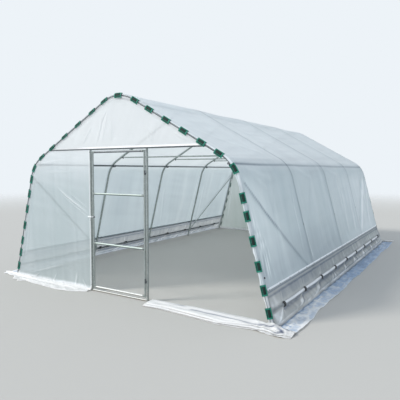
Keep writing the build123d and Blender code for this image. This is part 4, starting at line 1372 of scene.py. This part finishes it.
def make_clamps():
    """Clamps where the purlins and ties meet the arches."""
    lengthways, across = (0.0, 1.0, 0.0), (1.0, 0.0, 0.0)
    crossings = [(x, y, z) for x, z in PURLINS for y in INNER_ARCHES]
    fixed("purlin_clamps", CLAMP_TREE, crossings, lengthways, FITTING_STEEL, radius=PURLIN_CLAMP_R)
    ends = [(x, side * (REAR_Y - 0.036), z) for x, z in PURLINS for side in (-1, 1)]
    fixed("purlin_end_clamps", CLAMP_TREE, ends, lengthways, FITTING_STEEL,
          radius=PURLIN_CLAMP_R, gap=0.0)
    ties = [(side * TIE_X, y, TIE_Z) for y in INNER_ARCHES for side in (-1, 1)]
    fixed("tie_clamps", CLAMP_TREE, ties, across, FITTING_STEEL, radius=TIE_CLAMP_R, gap=0.0, ear=0.009)


def leg_points(height, out, stations_y, side):
    """Points on one side's legs or rail, at a height and each y."""
    x, z = arch_place(on_leg(height), out)
    return [(side * float(x), float(y), float(z)) for y in stations_y]


def make_bolts():
    """Bolts of the front posts, the side rails and the inner arches, and two screws in front."""
    points = [(x, FRONT_Y - POST_R - 0.0002, z) for x in (LEFT_POST_X, RIGHT_POST_X)
              for z in POST_BOLTS_Z]
    facing = [FORWARDS] * len(points)
    outward = {side: (side * cos(LEAN), 0.0, sin(LEAN)) for side in (-1, 1)}
    on_film = FILM_OUT + 0.0012
    along_rail = np.arange(FRONT_Y + 0.060, REAR_Y, RAIL_BOLT_PITCH)
    for side in (-1, 1):
        places = leg_points(RAIL_Z - 0.0052, RAIL_FACE_OUT, along_rail, side)
        places += leg_points(LEG_BOLT_Z, on_film, INNER_ARCHES, side)
        points += places
        facing += [outward[side]] * len(places)
    fixed("frame_bolts", BOLT_TREE, points, facing, BOLT_STEEL,
          head=0.0045, head_height=0.0030, washer=0.0070, washer_height=0.0012)
    screws = [leg_points(SCREW_Z, on_film, [FRONT_Y + 0.024], side)[0] for side in (-1, 1)]
    fixed("arch_screws", BOLT_TREE, screws, list(outward.values()), CLIP_BLACK,
          head=0.0080, head_height=0.0050, washer=0.0110, washer_height=0.0015)


def make_door_sleeves(inset=0.026):
    """Sleeves on the door's rails, beside both stiles."""
    points = [(x, FRONT_Y, z) for x in (STILES_X[0] + inset, STILES_X[1] - inset) for z in DOOR_RAILS_Z]
    fixed("door_sleeves", SLEEVE_TREE, points, (1.0, 0.0, 0.0), POST_STEEL, "door", "door_tube")


make_end_clips()
make_tube_clips()
make_clamps()
make_bolts()
make_door_sleeves()


# The CAD nodes that show as they are

FINISHES = {
    ARCH_STEEL: ["arch_2", "arch_3", "arch_4", "rear_arch", "cross_ties",
                 "left_braces", "right_braces"],
    BAR_STEEL: ["front_arch", "ridge_purlin", "left_eave_purlin", "right_eave_purlin", "front_header",
                "rear_header", "left_lower_tube", "right_lower_tube", "door_top_rail"],
    POST_STEEL: ["front_left_post", "front_right_post", "rear_left_post", "rear_right_post"],
    STILE_STEEL: ["door_hinge_stile", "door_latch_stile"],
    DOOR_STEEL: ["door_upper_rail"],
    LOWER_DOOR_STEEL: ["door_lower_rail"],
    DOOR_FOOT_STEEL: ["door_bottom_rail"],
    SILL_STEEL: ["door_sill"],
    LATCH_STEEL: ["latch_bar"],
    RAIL_STEEL: ["left_side_rail", "right_side_rail"],
    FITTING_STEEL: ["hinge_pins", "hinge_eyes", "latch_pin"],
    KNOB_GREY: ["latch_knob"],
}
for finish, names in FINISHES.items():
    for name in names:
        nodes[name].data.materials.clear()
        nodes[name].data.materials.append(finish)
